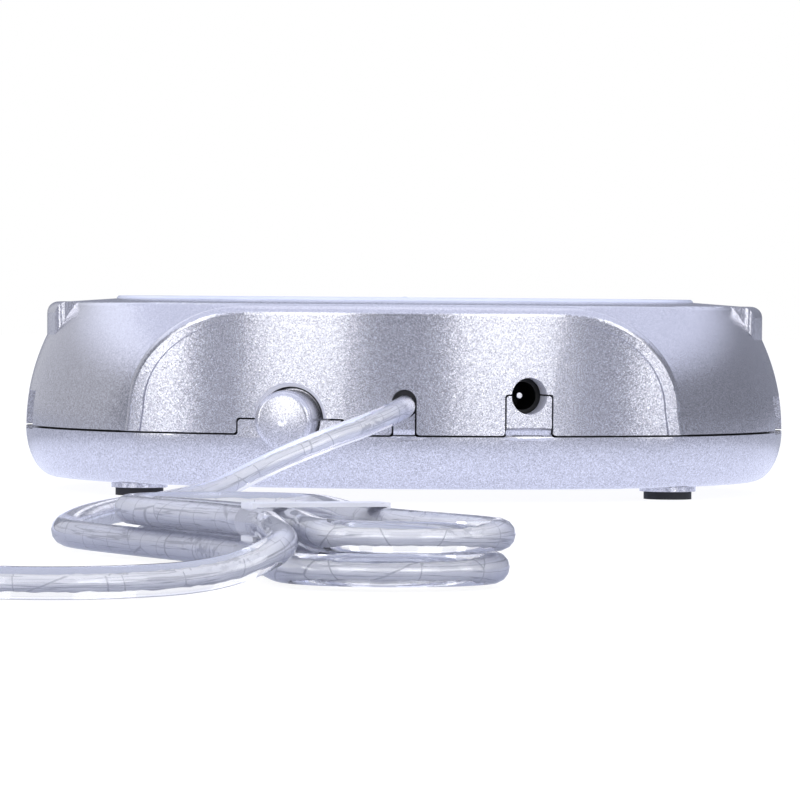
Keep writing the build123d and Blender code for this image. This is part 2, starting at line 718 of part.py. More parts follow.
def circuit_board():
    """Board on three posts, reaching out under the sockets, the jack and the switch."""
    board = disc(BOARD_RADIUS, BOARD_BOTTOM, BOARD_TOP)
    board += block((-BOARD_REACH, -BOARD_WING, BOARD_BOTTOM), (BOARD_REACH, BOARD_WING, BOARD_TOP))
    rear = (-BOARD_REAR_HALF, -BOARD_REACH, BOARD_BOTTOM)
    board += block(rear, (BOARD_REAR_HALF, -BOARD_WING, BOARD_TOP))
    board &= disc(BOARD_REACH, BOARD_BOTTOM, BOARD_TOP)
    board &= block((-BOARD_REACH, -BOARD_REACH, BOARD_BOTTOM), (BOARD_REACH, BOARD_FRONT, BOARD_TOP))
    back = FLANGE_BACK - BUTTON_TRAVEL - BOARD_NOTCH_CLEAR
    half = BUTTON_RADIUS + FLANGE_EXTRA + BOARD_NOTCH_CLEAR
    notch = block((-half, -PANEL_FACE, BOARD_BOTTOM), (half, -back, BOARD_TOP))
    notch += block((-half / 2, -PANEL_FACE, BOARD_BOTTOM), (half / 2, -SWITCH_FRONT, BOARD_TOP))
    board -= on_panel(BUTTON_ANGLE, notch)
    for x, y in post_places():
        board -= disc(BOARD_SCREW + SCREW_CLEAR, BOARD_BOTTOM, BOARD_TOP, x, y)
    return board


def indicator_led():
    """Round indicator in a hole in the roof, with a flange under it and two legs."""
    flange, thick = LED_FLANGE
    under = LED_SEAT - thick
    body = disc(LED_RADIUS, LED_SEAT, LED_SEAT + LED_HIGH, 0, LED_Y)
    body += Pos(0, LED_Y, LED_SEAT + LED_HIGH) * Sphere(LED_RADIUS)
    body += disc(flange, under, LED_SEAT, 0, LED_Y)
    for x in (-LED_LEG_X, LED_LEG_X):
        body += disc(LED_LEG, under - LED_LEG_LONG, under, x, LED_Y)
    return body


def led_leads():
    """Two leads from the indicator's legs to the board."""
    level = LED_SEAT - LED_FLANGE[1] - LED_LEG_LONG
    leads = []
    for x in (-LED_LEG_X, LED_LEG_X):
        points = [
            (x, LED_Y, level),
            (x, LED_Y, level - LED_LEAD_DROP),
            (x, LED_Y - LED_LEAD_BACK, BOARD_TOP + LEAD_RISE),
            (x, LED_LEAD_END, BOARD_TOP + LEAD_RISE),
            (x, LED_LEAD_END, BOARD_TOP),
        ]
        leads.append(round_tube(FilletPolyline(*points, radius=LEAD_BEND), LEAD_RADIUS))
    return Part() + leads


def hub_chip():
    """Hub controller: a flat package with softened upper edges and a row of legs on either side."""
    x, y = CHIP_PLACE
    wide, deep, high = CHIP_SIZE
    reach, broad, tall = CHIP_LEG
    body = block((-wide / 2, -deep / 2, BOARD_TOP), (wide / 2, deep / 2, BOARD_TOP + high))
    body = chamfer(body.edges().group_by(Axis.Z)[-1], CHIP_CHAMFER)
    for row in range(CHIP_LEGS):
        leg = (row - (CHIP_LEGS - 1) / 2) * CHIP_LEG_PITCH
        low = (-wide / 2 - reach, leg - broad / 2, BOARD_TOP)
        body += block(low, (wide / 2 + reach, leg + broad / 2, BOARD_TOP + tall))
    return Pos(x, y) * body


def crystal_can():
    """Crystal in a stadium-shaped can beside the chip."""
    long, wide, high = CRYSTAL_SIZE
    can = extrude(Pos(*CRYSTAL_PLACE, BOARD_TOP) * SlotOverall(long, wide), high)
    return fillet(can.edges().group_by(Axis.Z)[-1], CRYSTAL_ROUND)


def capacitors():
    """Three electrolytic capacitors standing on the board."""
    cans = []
    for place in (*CAPACITOR_PLACES, SMALL_CAPACITOR_PLACE):
        radius, high = SMALL_CAPACITOR if place == SMALL_CAPACITOR_PLACE else LARGE_CAPACITOR
        can = disc(radius, BOARD_TOP, BOARD_TOP + high, *place)
        cans.append(fillet(can.edges().filter_by(GeomType.CIRCLE).sort_by(Axis.Z)[-1], CAPACITOR_ROUND))
    return Part() + cans


def socket_ends(side, inner, outer):
    """The two X values of a stretch that runs inwards from a socket's mouth."""
    return sorted((side * (SOCKET_FACE - inner), side * (SOCKET_FACE - outer)))


def socket_shell(side, y):
    """Folded metal shell of one socket, open at its mouth."""
    deep, wide, high = SOCKET_SIZE
    a, b = socket_ends(side, 0, deep)
    body = block((a, y - wide / 2, BOARD_TOP), (b, y + wide / 2, BOARD_TOP + high))
    a, b = socket_ends(side, -1, deep - SOCKET_SKIN)
    half = wide / 2 - SOCKET_SKIN
    top = BOARD_TOP + high - SOCKET_SKIN
    return body - block((a, y - half, BOARD_TOP + SOCKET_SKIN), (b, y + half, top))


def socket_tongue(side, y):
    """Plastic insert: a block at the back that carries the contact tongue."""
    deep, wide, high = SOCKET_SIZE
    long, broad, thick = TONGUE_SIZE
    half = wide / 2 - SOCKET_SKIN
    top = BOARD_TOP + high - SOCKET_SKIN
    back = deep - SOCKET_SKIN
    a, b = socket_ends(side, TONGUE_SET_IN + long, back)
    body = block((a, y - half, BOARD_TOP + SOCKET_SKIN), (b, y + half, top))
    a, b = socket_ends(side, TONGUE_SET_IN, back)
    tongue = block((a, y - broad / 2, top - TONGUE_DROP - thick), (b, y + broad / 2, top - TONGUE_DROP))
    return body + tongue


def jack_body():
    """Moulded body of the power jack, with its round bore."""
    wide, deep, high = JACK_SIZE
    body = block((-wide / 2, -JACK_FRONT, BOARD_TOP), (wide / 2, -JACK_FRONT + deep, BOARD_TOP + high))
    body = chamfer(body.edges().filter_by(Axis.Y).group_by(Axis.Z)[-1], JACK_CHAMFER)
    body -= rod(JACK_BORE, JACK_FRONT - JACK_BORE_DEEP, JACK_FRONT + 1, JACK_LEVEL)
    half = LEAF_SLOT[0] / 2
    low = (-half, -JACK_FRONT + LEAF_BEHIND, JACK_LEVEL - JACK_BORE - LEAF_SLOT[1])
    body -= block(low, (half, -JACK_FRONT + JACK_BORE_DEEP, JACK_LEVEL))
    return on_panel(JACK_ANGLE, body)


def jack_pin():
    """Centre pin with a rounded tip."""
    pin = rod(JACK_PIN, JACK_FRONT - JACK_BORE_DEEP, JACK_FRONT - JACK_PIN_BELOW, JACK_LEVEL)
    tip = pin.edges().filter_by(GeomType.CIRCLE).sort_by(Axis.Y)[0]
    return on_panel(JACK_ANGLE, fillet(tip, JACK_PIN_ROUND))


def jack_spring():
    """Leaf contact in the slot under the bore, behind the bore's mouth."""
    wide, long, thick = LEAF_SIZE
    low = JACK_LEVEL - JACK_BORE - LEAF_SLOT[1]
    start = -JACK_FRONT + JACK_BORE_DEEP - long
    leaf = block((-wide / 2, start, low), (wide / 2, start + long, low + thick))
    return on_panel(JACK_ANGLE, leaf)


def power_button():
    """Domed push button with a stop flange behind the wall."""
    back = FLANGE_BACK
    front = PANEL_FACE + BUTTON_PROUD
    flange = BUTTON_RADIUS + FLANGE_EXTRA
    dome = (BUTTON_RADIUS**2 + BUTTON_DOME**2) / (2 * BUTTON_DOME)
    shoulder = -front + BUTTON_DOME
    seat = -back - FLANGE_THICK
    outline = (
        Polyline((0, -front), (0, -back), (flange, -back), (flange, seat))
        + Polyline((flange, seat), (BUTTON_RADIUS, seat), (BUTTON_RADIUS, shoulder))
        + CenterArc((0, dome - front), dome, -90, degrees(asin(BUTTON_RADIUS / dome)))
    )
    face = make_face(outline)
    corner = face.vertices().sort_by_distance(Vector(BUTTON_RADIUS, shoulder, 0))[0]
    body = revolve(fillet(corner, BUTTON_EDGE), Axis.Y)
    return on_panel(BUTTON_ANGLE, Pos(0, 0, BUTTON_LEVEL) * body)


def button_plunger():
    """Square stem from the button's back into the switch."""
    half = PLUNGER_SIDE / 2
    tail = SWITCH_FRONT - PLUNGER_IN
    stem = block((-half, -FLANGE_BACK, BUTTON_LEVEL - half), (half, -tail, BUTTON_LEVEL + half))
    return on_panel(BUTTON_ANGLE, stem)


def switch_body():
    """Push switch on the board, with the square hole that guides the stem."""
    wide, deep, high = SWITCH_SIZE
    body = block((-wide / 2, -SWITCH_FRONT, BOARD_TOP), (wide / 2, -SWITCH_FRONT + deep, BOARD_TOP + high))
    half = PLUNGER_SIDE / 2 + 2 * FIT
    end = SWITCH_FRONT - PLUNGER_IN - BUTTON_TRAVEL - SWITCH_CLEAR
    body -= block((-half, -SWITCH_FRONT - 1, BUTTON_LEVEL - half), (half, -end, BUTTON_LEVEL + half))
    return on_panel(BUTTON_ANGLE, body)


def button_spring():
    """Return spring round the stem, between the switch and the flange."""
    room = FLANGE_BACK - SWITCH_FRONT - 2 * FIT - SPRING_WIRE
    radius = PLUNGER_SIDE * sqrt(0.5) + SPRING_WIRE
    helix = Helix(room / SPRING_TURNS, room, radius)
    coil = round_tube(helix, SPRING_WIRE / 2)
    start = SWITCH_FRONT + FIT + SPRING_WIRE / 2
    return on_panel(BUTTON_ANGLE, Pos(0, -start, BUTTON_LEVEL) * Rot(90, 0, 0) * coil)


# ---- Cord ---------------------------------------------------------------------------------------


def cable_grommet():
    """Soft bush in the slot, with a flange behind the wall."""
    back = GROMMET_INNER - GROMMET_FLANGE_THICK
    bush = rod(SLOT_WIDE / 2 - FIT, GROMMET_INNER, CORD_START, SLOT_LEVEL)
    bush += rod(GROMMET_FLANGE, back, GROMMET_INNER, SLOT_LEVEL)
    return bush + rod(SLOT_WIDE / 2 + GROMMET_TAIL_EXTRA, TAIL_START, back, SLOT_LEVEL)


def cable_tail():
    """Jacketed tail from the grommet down to its connector on the board."""
    first, second, third = TAIL_RUNS
    level = BOARD_TOP + CONNECTOR_SIZE[2] / 2
    points = [
        (0, -TAIL_START, SLOT_LEVEL),
        (0, -TAIL_START + first, SLOT_LEVEL),
        (0, -TAIL_START + first + second, level),
        (0, -TAIL_START + first + second + third, level),
    ]
    return round_tube(FilletPolyline(*points, radius=TAIL_BEND), TAIL_RADIUS)


def tail_connector():
    """Plug-in connector that ends the tail on the board."""
    wide, deep, high = CONNECTOR_SIZE
    start = -TAIL_START + sum(TAIL_RUNS)
    return block((-wide / 2, start, BOARD_TOP), (wide / 2, start + deep, BOARD_TOP + high))


def cord_path(points):
    """Straight runs joined by arcs as large as their shorter run allows."""
    runs = [Vector(*b) - Vector(*a) for a, b in zip(points, points[1:])]
    radii = []
    for one, two in zip(runs, runs[1:]):
        turn = radians(one.get_angle(two))
        radii.append(CORD_ARC_SHARE * min(one.length, two.length) / tan(turn / 2))
    return FilletPolyline(*points, radius=radii)


def cord_tube(points):
    """Round tube along a cord path."""
    return round_tube(cord_path(points), CORD_DIAMETER / 2)


CORD_ROUTE = [
    (0.0, -CORD_START, CORD_LEVEL),
    (0.0, -CORD_START - CORD_EXIT, CORD_LEVEL),
    (-4.2, -79.5, 13.7),
    (-12.0, -87.5, 11.0),
    (-21.0, -94.0, 7.4),
    (-29.0, -103.5, 3.1),
    (-36.5, -118.5, LAID),
    (-41.5, -138.0, LAID),
    (-44.5, -160.0, LAID),
    (-46.0, -184.0, LAID),
    (-46.0, -208.0, LAID),
    (-43.8, -230.0, LAID + HANK_LOW / 2),
    (-34.7, -251.6, LAID + HANK_LOW),
]

CORD_END_ROUTE = [
    (-15.5, -316.0, LAID + HANK_LOW),
    (-14.5, -327.0, LAID + HANK_LOW),
    (-21.5, -337.0, LAID + HANK_LOW / 2),
    (-33.0, -344.0, LAID),
    (-48.0, -344.5, LAID),
    (-60.5, -336.0, LAID + HANK_LOW),
    (PLUG_PLACE[0], -322.0, PLUG_BODY[2] / 2),
    (PLUG_PLACE[0], PLUG_PLACE[1] - PLUG_NECK[1], PLUG_BODY[2] / 2),
]


def hank_frame():
    """Place of the hank: its own X runs from the fanned loops to the tied end."""
    return Pos(*HANK_PLACE, 0) * Rot(0, 0, HANK_TURN)


def cord_hank():
    """Outer shape of the hank: a wide fan of loops, a tied waist and short loops past it."""
    fan, waist, end = [Pos(s, 0) * Circle(r) for s, r in (HANK_FAN, HANK_WAIST, HANK_END)]
    wide = make_hull((fan + waist).edges())
    short = make_hull((waist + end).edges())
    slab = extrude(Pos(0, 0, HANK_LOW) * (wide + short), HANK_HIGH - HANK_LOW)
    return hank_frame() * slab


def hank_tie():
    """Flat tie round the waist."""
    s, half = HANK_WAIST
    wide = TIE_WIDE / 2
    outer = block((s - wide, -half - TIE_THICK, 0), (s + wide, half + TIE_THICK, HANK_HIGH + TIE_THICK))
    inner = block((s - wide, -half, HANK_LOW), (s + wide, half, HANK_HIGH))
    return hank_frame() * (outer - inner)


def plug_overmould():
    """Moulded grip of the plug with its strain relief."""
    wide, long, high = PLUG_BODY
    x, y = PLUG_PLACE
    grip = block((x - wide / 2, y, 0), (x + wide / 2, y + long, high))
    grip = fillet(grip.edges().filter_by(Axis.Y), PLUG_ROUND)
    radius, neck = PLUG_NECK
    relief = Cone(CORD_DIAMETER / 2 + PLUG_NECK_WALL, radius, neck)
    return grip + Pos(x, y - neck / 2, high / 2) * Rot(-90, 0, 0) * relief


def plug_shell():
    """Metal shell of the plug, open at its end."""
    wide, long, high = PLUG_SHELL
    x = PLUG_PLACE[0]
    y = PLUG_PLACE[1] + PLUG_BODY[1]
    level = PLUG_BODY[2] / 2
    body = block((x - wide / 2, y, level - high / 2), (x + wide / 2, y + long, level + high / 2))
    half = wide / 2 - PLUG_SKIN
    tall = high / 2 - PLUG_SKIN
    return body - block((x - half, y, level - tall), (x + half, y + long, level + tall))


def plug_tongue():
    """Plastic insert in the lower half of the plug's shell."""
    wide, long, high = PLUG_SHELL
    x = PLUG_PLACE[0]
    y = PLUG_PLACE[1] + PLUG_BODY[1]
    low = PLUG_BODY[2] / 2 - high / 2 + PLUG_SKIN
    half = wide / 2 - PLUG_SKIN
    return block((x - half, y, low), (x + half, y + long - PLUG_TONGUE_SHORT, low + PLUG_TONGUE_THICK))


# ---- Output -------------------------------------------------------------------------------------


def parts():
    """Every sub-part by its name."""
    made = {
        "upper_shell": upper_shell(),
        "lower_shell": lower_shell(),
        "rubber_feet": rubber_feet(),
        "case_screws": case_screws(),
        "board_screws": board_screws(),
        "plate_ring": plate_ring(),
        "heating_plate": heating_plate(),
        "heater_film": heater_film(),
        "insulation_pad": insulation_pad(),
        "thermal_cutoff": thermal_cutoff(),
        "heater_retainer": heater_retainer(),
        "retainer_screws": retainer_screws(),
        "heater_leads": heater_leads(),
        "circuit_board": circuit_board(),
        "indicator_led": indicator_led(),
        "led_leads": led_leads(),
        "hub_chip": hub_chip(),
        "crystal_can": crystal_can(),
        "capacitors": capacitors(),
        "jack_body": jack_body(),
        "jack_pin": jack_pin(),
        "jack_spring": jack_spring(),
        "power_button": power_button(),
        "button_plunger": button_plunger(),
        "button_spring": button_spring(),
        "switch_body": switch_body(),
        "cable_grommet": cable_grommet(),
        "cable_tail": cable_tail(),
        "tail_connector": tail_connector(),
        "usb_cord": cord_tube(CORD_ROUTE),
        "cord_hank": cord_hank(),
        "hank_tie": hank_tie(),
        "cord_end": cord_tube(CORD_END_ROUTE),
        "plug_overmould": plug_overmould(),
        "plug_shell": plug_shell(),
        "plug_tongue": plug_tongue(),
    }
    for side, hand in ((-1, "left"), (1, "right")):
        for y, end in ((-SOCKET_Y, "rear"), (SOCKET_Y, "front")):
            made[f"socket_shell_{hand}_{end}"] = socket_shell(side, y)
            made[f"socket_tongue_{hand}_{end}"] = socket_tongue(side, y)
    return made


os.makedirs("parts", exist_ok=True)
for node, shape in parts().items():
    export_step(shape, f"parts/{node}.step")
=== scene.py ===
"""Round cup warmer with a hub: painted case, heating plate, rear controls and a clear shielded cord."""

import math

import bmesh
import bpy
from mathutils import Matrix, Vector, noise


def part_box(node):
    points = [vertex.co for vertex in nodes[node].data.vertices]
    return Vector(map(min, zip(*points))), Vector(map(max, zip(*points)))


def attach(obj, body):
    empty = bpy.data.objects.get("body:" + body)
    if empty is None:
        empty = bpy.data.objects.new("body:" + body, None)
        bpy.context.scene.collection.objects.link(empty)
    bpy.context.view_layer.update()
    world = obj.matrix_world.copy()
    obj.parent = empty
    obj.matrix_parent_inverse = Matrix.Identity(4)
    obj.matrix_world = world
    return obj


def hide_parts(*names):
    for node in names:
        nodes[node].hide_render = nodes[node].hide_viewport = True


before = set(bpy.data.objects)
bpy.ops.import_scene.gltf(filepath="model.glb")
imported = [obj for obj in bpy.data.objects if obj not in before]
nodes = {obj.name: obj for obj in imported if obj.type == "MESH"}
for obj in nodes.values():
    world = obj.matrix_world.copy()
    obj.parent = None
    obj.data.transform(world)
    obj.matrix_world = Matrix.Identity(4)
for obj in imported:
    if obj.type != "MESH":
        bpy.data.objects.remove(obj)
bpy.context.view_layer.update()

MM = 0.001
CASE = "case"


# ---- Sizes --------------------------------------------------------------------------------------


def middle_height(name):
    """Height of the middle of a node's box."""
    low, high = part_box(name)
    return (low[2] + high[2]) / 2


# The groove between the halves of the case. EDGE keeps a mask just off the face that it ends at, and
# a face counts as level where the upright part of its normal is over LEVEL_FACE
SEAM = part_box("upper_shell")[0][2]
GROOVE = 0.3 * MM
GROOVE_DEEP = 1.5 * MM
EDGE = 0.03 * MM
LEVEL_FACE = 0.8

# The control panel is part of a cylinder, whose upright axis lies this far in front of the case's own.
# Its holes are looked for only behind REAR
PANEL_CENTRE = 14.7 * MM
PANEL_REACH = 76.75 * MM
REAR = -50.0 * MM

# The button's bore, with the sunk rim round its upper part
BUTTON_LEVEL = middle_height("power_button")
BUTTON_TURN = math.radians(-14)
BORE_REACH = 5.4 * MM
RIM_REACH = 6.15 * MM
RIM_FOOT = BUTTON_LEVEL - 1.0 * MM
RIM_DEEP = 0.5 * MM

# The jack's hole. SQUEEZE takes away the length of a hole, so that only the distance from its axis counts
JACK_LEVEL = middle_height("jack_pin")
JACK_TURN = math.radians(15.3)
JACK_REACH = 3.1 * MM
SQUEEZE = 1000

# The cord's jacket, as a spline with a round section
CORD_DIAMETER = 3.7 * MM
CORD_ORDER = 3
CORD_STEPS = 12
CORD_ROUND = 5

# The foil inside it, with its shallow creases. It stops CORE_SHORT steps short of each end
CORE_DIAMETER = 1.3 * MM
CORE_SIDES = 14
CORE_STEP = 0.5 * MM
CORE_SHORT = 2
CREASE_DEEP = 0.12 * MM
CREASE_LONG = 1.1 * MM
CREASE_ROUND = 1.3

# Finishes: how metallic the silver paint is, how rough where it is matt, and how evenly white the paper is
PAINT_METAL = 0.78
MATT_ROUGH = 0.6
EVEN_WHITE = 0.8

# Sockets of a colour mix
COLOUR_A = 6
COLOUR_B = 7
COLOUR_OUT = 2


# ---- Helpers ------------------------------------------------------------------------------------


def clear_selection():
    """Nothing selected and nothing active, in object mode."""
    if bpy.context.object and bpy.context.object.mode != "OBJECT":
        bpy.ops.object.mode_set(mode="OBJECT")
    bpy.ops.object.select_all(action="DESELECT")


def named(name):
    """The active object under its own name."""
    piece = bpy.context.object
    piece.name = name
    piece.data.name = name
    return piece


def tint(text):
    """Linear colour of an sRGB hex value."""
    channels = [int(text[i : i + 2], 16) / 255 for i in (1, 3, 5)]
    return tuple(c / 12.92 if c <= 0.04045 else ((c + 0.055) / 1.055) ** 2.4 for c in channels) + (1.0,)


def add(tree, kind, settings=(), links=()):
    """A node with its attributes or input values set, and links from other nodes' outputs."""
    node = tree.nodes.new(kind)
    for key, value in dict(settings).items():
        if isinstance(key, str) and hasattr(node, key):
            setattr(node, key, value)
        else:
            node.inputs[key].default_value = value
    for key, (other, output) in dict(links).items():
        tree.links.new(other.outputs[output], node.inputs[key])
    return node


def fresh_material(name):
    """An empty material with its shader and output joined."""
    material = bpy.data.materials.new(name)
    material.use_nodes = True
    tree = material.node_tree
    tree.nodes.clear()
    shader = add(tree, "ShaderNodeBsdfPrincipled")
    output = add(tree, "ShaderNodeOutputMaterial")
    tree.links.new(shader.outputs["BSDF"], output.inputs["Surface"])
    return material, tree, shader


def per_mm(size):
    """Pattern scale, in cells to the metre, of a feature that many millimetres across."""
    return 1.0 / (size * MM)


# ---- Materials ----------------------------------------------------------------------------------


def sprayed_silver(name, rough):
    """Metallic silver paint sprayed on ABS: fine flake that sparkles, a satin sheen, faint orange peel.

    Gives the material, its tree and shader, and the nodes for its place and colour.
    """
    material, tree, shader = fresh_material(name)
    place = add(tree, "ShaderNodeTexCoord")
    # Flakes are really 0.05 mm; drawn 0.14 mm across, the size at which clusters of them read
    flake = add(tree, "ShaderNodeTexVoronoi", {"Scale": per_mm(0.14)}, {"Vector": (place, "Object")})
    # Where the surface faces up, its flakes are drawn fainter: painted light, standing in for the glare that
    # washes them out there
    surface = add(tree, "ShaderNodeNewGeometry")
    facing = add(tree, "ShaderNodeSeparateXYZ", (), {"Vector": (surface, "Normal")})
    upward = {"From Min": 0.1, "From Max": 0.4}
    darkest = add(
        tree,
        "ShaderNodeMapRange",
        {**upward, "To Min": 0.58, "To Max": 0.86},
        {"Value": (facing, "Z")},
    )
    lightest = add(
        tree,
        "ShaderNodeMapRange",
        {**upward, "To Min": 1.34, "To Max": 1.1},
        {"Value": (facing, "Z")},
    )
    shade = add(
        tree,
        "ShaderNodeMapRange",
        (),
        {"Value": (flake, "Color"), "To Min": (darkest, "Result"), "To Max": (lightest, "Result")},
    )
    # The spray leaves faint clouds about 9 mm across
    cloud = add(
        tree,
        "ShaderNodeTexNoise",
        {"Scale": per_mm(9), "Detail": 2.0},
        {"Vector": (place, "Object")},
    )
    drift = add(tree, "ShaderNodeMapRange", {"To Min": 0.97, "To Max": 1.03}, {"Value": (cloud, "Fac")})
    both = add(
        tree,
        "ShaderNodeMath",
        {"operation": "MULTIPLY"},
        {0: (shade, "Result"), 1: (drift, "Result")},
    )
    colour = add(
        tree,
        "ShaderNodeVectorMath",
        {"operation": "SCALE", 0: tint("#d0d0d7")[:3]},
        {"Scale": (both, "Value")},
    )
    tree.links.new(colour.outputs["Vector"], shader.inputs["Base Color"])
    shader.inputs["Metallic"].default_value = PAINT_METAL
    shader.inputs["Roughness"].default_value = rough
    # Each flake lies at its own small tilt
    tilt = add(
        tree,
        "ShaderNodeVectorMath",
        {"operation": "SUBTRACT", 1: (0.5, 0.5, 0.5)},
        {0: (flake, "Color")},
    )
    lean = add(tree, "ShaderNodeVectorMath", {"operation": "SCALE", "Scale": 0.055}, {0: (tilt, "Vector")})
    turned = add(
        tree,
        "ShaderNodeVectorMath",
        {"operation": "ADD"},
        {0: (surface, "Normal"), 1: (lean, "Vector")},
    )
    unit = add(tree, "ShaderNodeVectorMath", {"operation": "NORMALIZE"}, {0: (turned, "Vector")})
    # Orange peel: soft dimples about 1.2 mm across
    peel = add(
        tree,
        "ShaderNodeTexNoise",
        {"Scale": per_mm(1.2), "Detail": 1.0},
        {"Vector": (place, "Object")},
    )
    bump = add(
        tree,
        "ShaderNodeBump",
        {"Strength": 0.06, "Distance": 0.02 * MM},
        {"Height": (peel, "Fac"), "Normal": (unit, "Vector")},
    )
    tree.links.new(bump.outputs["Normal"], shader.inputs["Normal"])
    return material, tree, shader, place, colour


def button_paint():
    """The paint on the button, rubbed a little duller than the case by fingers."""
    return sprayed_silver("silver_paint_on_button", 0.27)[0]


def case_paint():
    """The paint on the case: painted shade, near black, in its groove and bore; matt in the mouths of its
    holes, and a painted highlight on the button's sunk rim.
    """
    rough = 0.2
    material, tree, shader, place, colour = sprayed_silver("silver_paint_on_abs", rough)
    painted_shade, thin, pale = in_recesses(tree, place)
    # Painted highlight: the sunk rim of the button's hole is painted near white
    with_painted_highlight = add(
        tree,
        "ShaderNodeMix",
        {"data_type": "RGBA", COLOUR_B: tint("#fafafe")},
        {0: (pale, "Value"), COLOUR_A: (colour, "Vector")},
    )
    # Painted shade: the groove and the button's bore are painted near black
    coat = add(
        tree,
        "ShaderNodeMix",
        {"data_type": "RGBA", COLOUR_B: tint("#0c0c0e")},
        {0: (painted_shade, "Value"), COLOUR_A: (with_painted_highlight, COLOUR_OUT)},
    )
    tree.links.new(coat.outputs[COLOUR_OUT], shader.inputs["Base Color"])
    matt = add(tree, "ShaderNodeMath", {"operation": "MAXIMUM"}, {0: (painted_shade, "Value"), 1: (thin, "Value")})
    metal = add(
        tree,
        "ShaderNodeMapRange",
        {"To Min": PAINT_METAL, "To Max": 0.0},
        {"Value": (matt, "Value")},
    )
    tree.links.new(metal.outputs["Result"], shader.inputs["Metallic"])
    sheen = add(
        tree,
        "ShaderNodeMapRange",
        {"To Min": rough, "To Max": MATT_ROUGH},
        {"Value": (matt, "Value")},
    )
    tree.links.new(sheen.outputs["Result"], shader.inputs["Roughness"])
    return material


def in_recesses(tree, place):
    """Where shade is painted near black, where the coat dries matt, and where a highlight is painted pale.

    The groove between the halves and the button's bore behind its rim get painted shade. The wall of the
    jack's hole and the sunk rim of the button's hole are matt, and the rim gets a painted highlight.
    """
    spot = add(tree, "ShaderNodeSeparateXYZ", (), {"Vector": (place, "Object")})
    rear = add(tree, "ShaderNodeMath", {"operation": "LESS_THAN", 1: REAR}, {0: (spot, "Y")})
    # Distance from the panel's own axis
    centred = add(
        tree,
        "ShaderNodeMapping",
        {"Location": (0, -PANEL_CENTRE, 0), "Scale": (1, 1, 0)},
        {"Vector": (place, "Object")},
    )
    reach = add(tree, "ShaderNodeVectorMath", {"operation": "LENGTH"}, {0: (centred, "Vector")})
    # Behind the panel's face
    sunk = add(
        tree,
        "ShaderNodeMath",
        {"operation": "LESS_THAN", 1: PANEL_REACH - EDGE},
        {0: (reach, "Value")},
    )
    behind = add(
        tree,
        "ShaderNodeMath",
        {"operation": "MULTIPLY"},
        {0: (sunk, "Value"), 1: (rear, "Value")},
    )
    # The rim of the button's hole, and the jack's hole
    ring = round_hole(tree, place, BUTTON_TURN, BUTTON_LEVEL, RIM_REACH)
    arch = add(tree, "ShaderNodeMath", {"operation": "GREATER_THAN", 1: RIM_FOOT}, {0: (spot, "Z")})
    rim = add(tree, "ShaderNodeMath", {"operation": "MULTIPLY"}, {0: (ring, "Value"), 1: (arch, "Value")})
    # The rim's painted highlight
    pale = add(tree, "ShaderNodeMath", {"operation": "MULTIPLY"}, {0: (rim, "Value"), 1: (behind, "Value")})
    jack = round_hole(tree, place, JACK_TURN, JACK_LEVEL, JACK_REACH)
    holes = add(tree, "ShaderNodeMath", {"operation": "MAXIMUM"}, {0: (rim, "Value"), 1: (jack, "Value")})
    thin = add(
        tree,
        "ShaderNodeMath",
        {"operation": "MULTIPLY"},
        {0: (holes, "Value"), 1: (behind, "Value")},
    )
    # The bore behind the rim, painted near black as shade
    button = round_hole(tree, place, BUTTON_TURN, BUTTON_LEVEL, BORE_REACH)
    deep = add(
        tree,
        "ShaderNodeMath",
        {"operation": "LESS_THAN", 1: PANEL_REACH - RIM_DEEP},
        {0: (reach, "Value")},
    )
    bore = add(tree, "ShaderNodeMath", {"operation": "MULTIPLY"}, {0: (button, "Value"), 1: (deep, "Value")})
    shade = add(tree, "ShaderNodeMath", {"operation": "MULTIPLY"}, {0: (bore, "Value"), 1: (rear, "Value")})
    groove = parting_line(tree, spot, reach)
    painted_shade = add(tree, "ShaderNodeMath", {"operation": "MAXIMUM"}, {0: (groove, "Value"), 1: (shade, "Value")})
    return painted_shade, thin, pale


def round_hole(tree, place, turn, level, radius):
    """1 within a radius of the axis of a hole in the panel."""
    squeezed = add(
        tree,
        "ShaderNodeMapping",
        {
            "vector_type": "TEXTURE",
            "Location": (0, PANEL_CENTRE, level),
            "Rotation": (0, 0, turn),
            "Scale": (1, SQUEEZE, 1),
        },
        {"Vector": (place, "Object")},
    )
    away = add(tree, "ShaderNodeVectorMath", {"operation": "LENGTH"}, {0: (squeezed, "Vector")})
    return add(tree, "ShaderNodeMath", {"operation": "LESS_THAN", 1: radius}, {0: (away, "Value")})


def parting_line(tree, spot, reach):
    """1 inside the groove between the two halves of the case, where shade is painted: on its level faces,
    and deep in it.
    """
    surface = add(tree, "ShaderNodeNewGeometry")
    facing = add(tree, "ShaderNodeSeparateXYZ", (), {"Vector": (surface, "True Normal")})
    steep = add(tree, "ShaderNodeMath", {"operation": "ABSOLUTE"}, {0: (facing, "Z")})
    flat = add(tree, "ShaderNodeMath", {"operation": "GREATER_THAN", 1: LEVEL_FACE}, {0: (steep, "Value")})
    deep = add(
        tree,
        "ShaderNodeMath",
        {"operation": "LESS_THAN", 1: PANEL_REACH - GROOVE_DEEP / 2},
        {0: (reach, "Value")},
    )
    inside = add(tree, "ShaderNodeMath", {"operation": "MAXIMUM"}, {0: (flat, "Value"), 1: (deep, "Value")})
    bottom = SEAM - GROOVE / 2 - EDGE
    top = SEAM + GROOVE / 2 + EDGE
    above = add(tree, "ShaderNodeMath", {"operation": "GREATER_THAN", 1: bottom}, {0: (spot, "Z")})
    below = add(tree, "ShaderNodeMath", {"operation": "LESS_THAN", 1: top}, {0: (spot, "Z")})
    level = add(
        tree,
        "ShaderNodeMath",
        {"operation": "MULTIPLY"},
        {0: (above, "Value"), 1: (below, "Value")},
    )
    return add(
        tree,
        "ShaderNodeMath",
        {"operation": "MULTIPLY"},
        {0: (inside, "Value"), 1: (level, "Value")},
    )


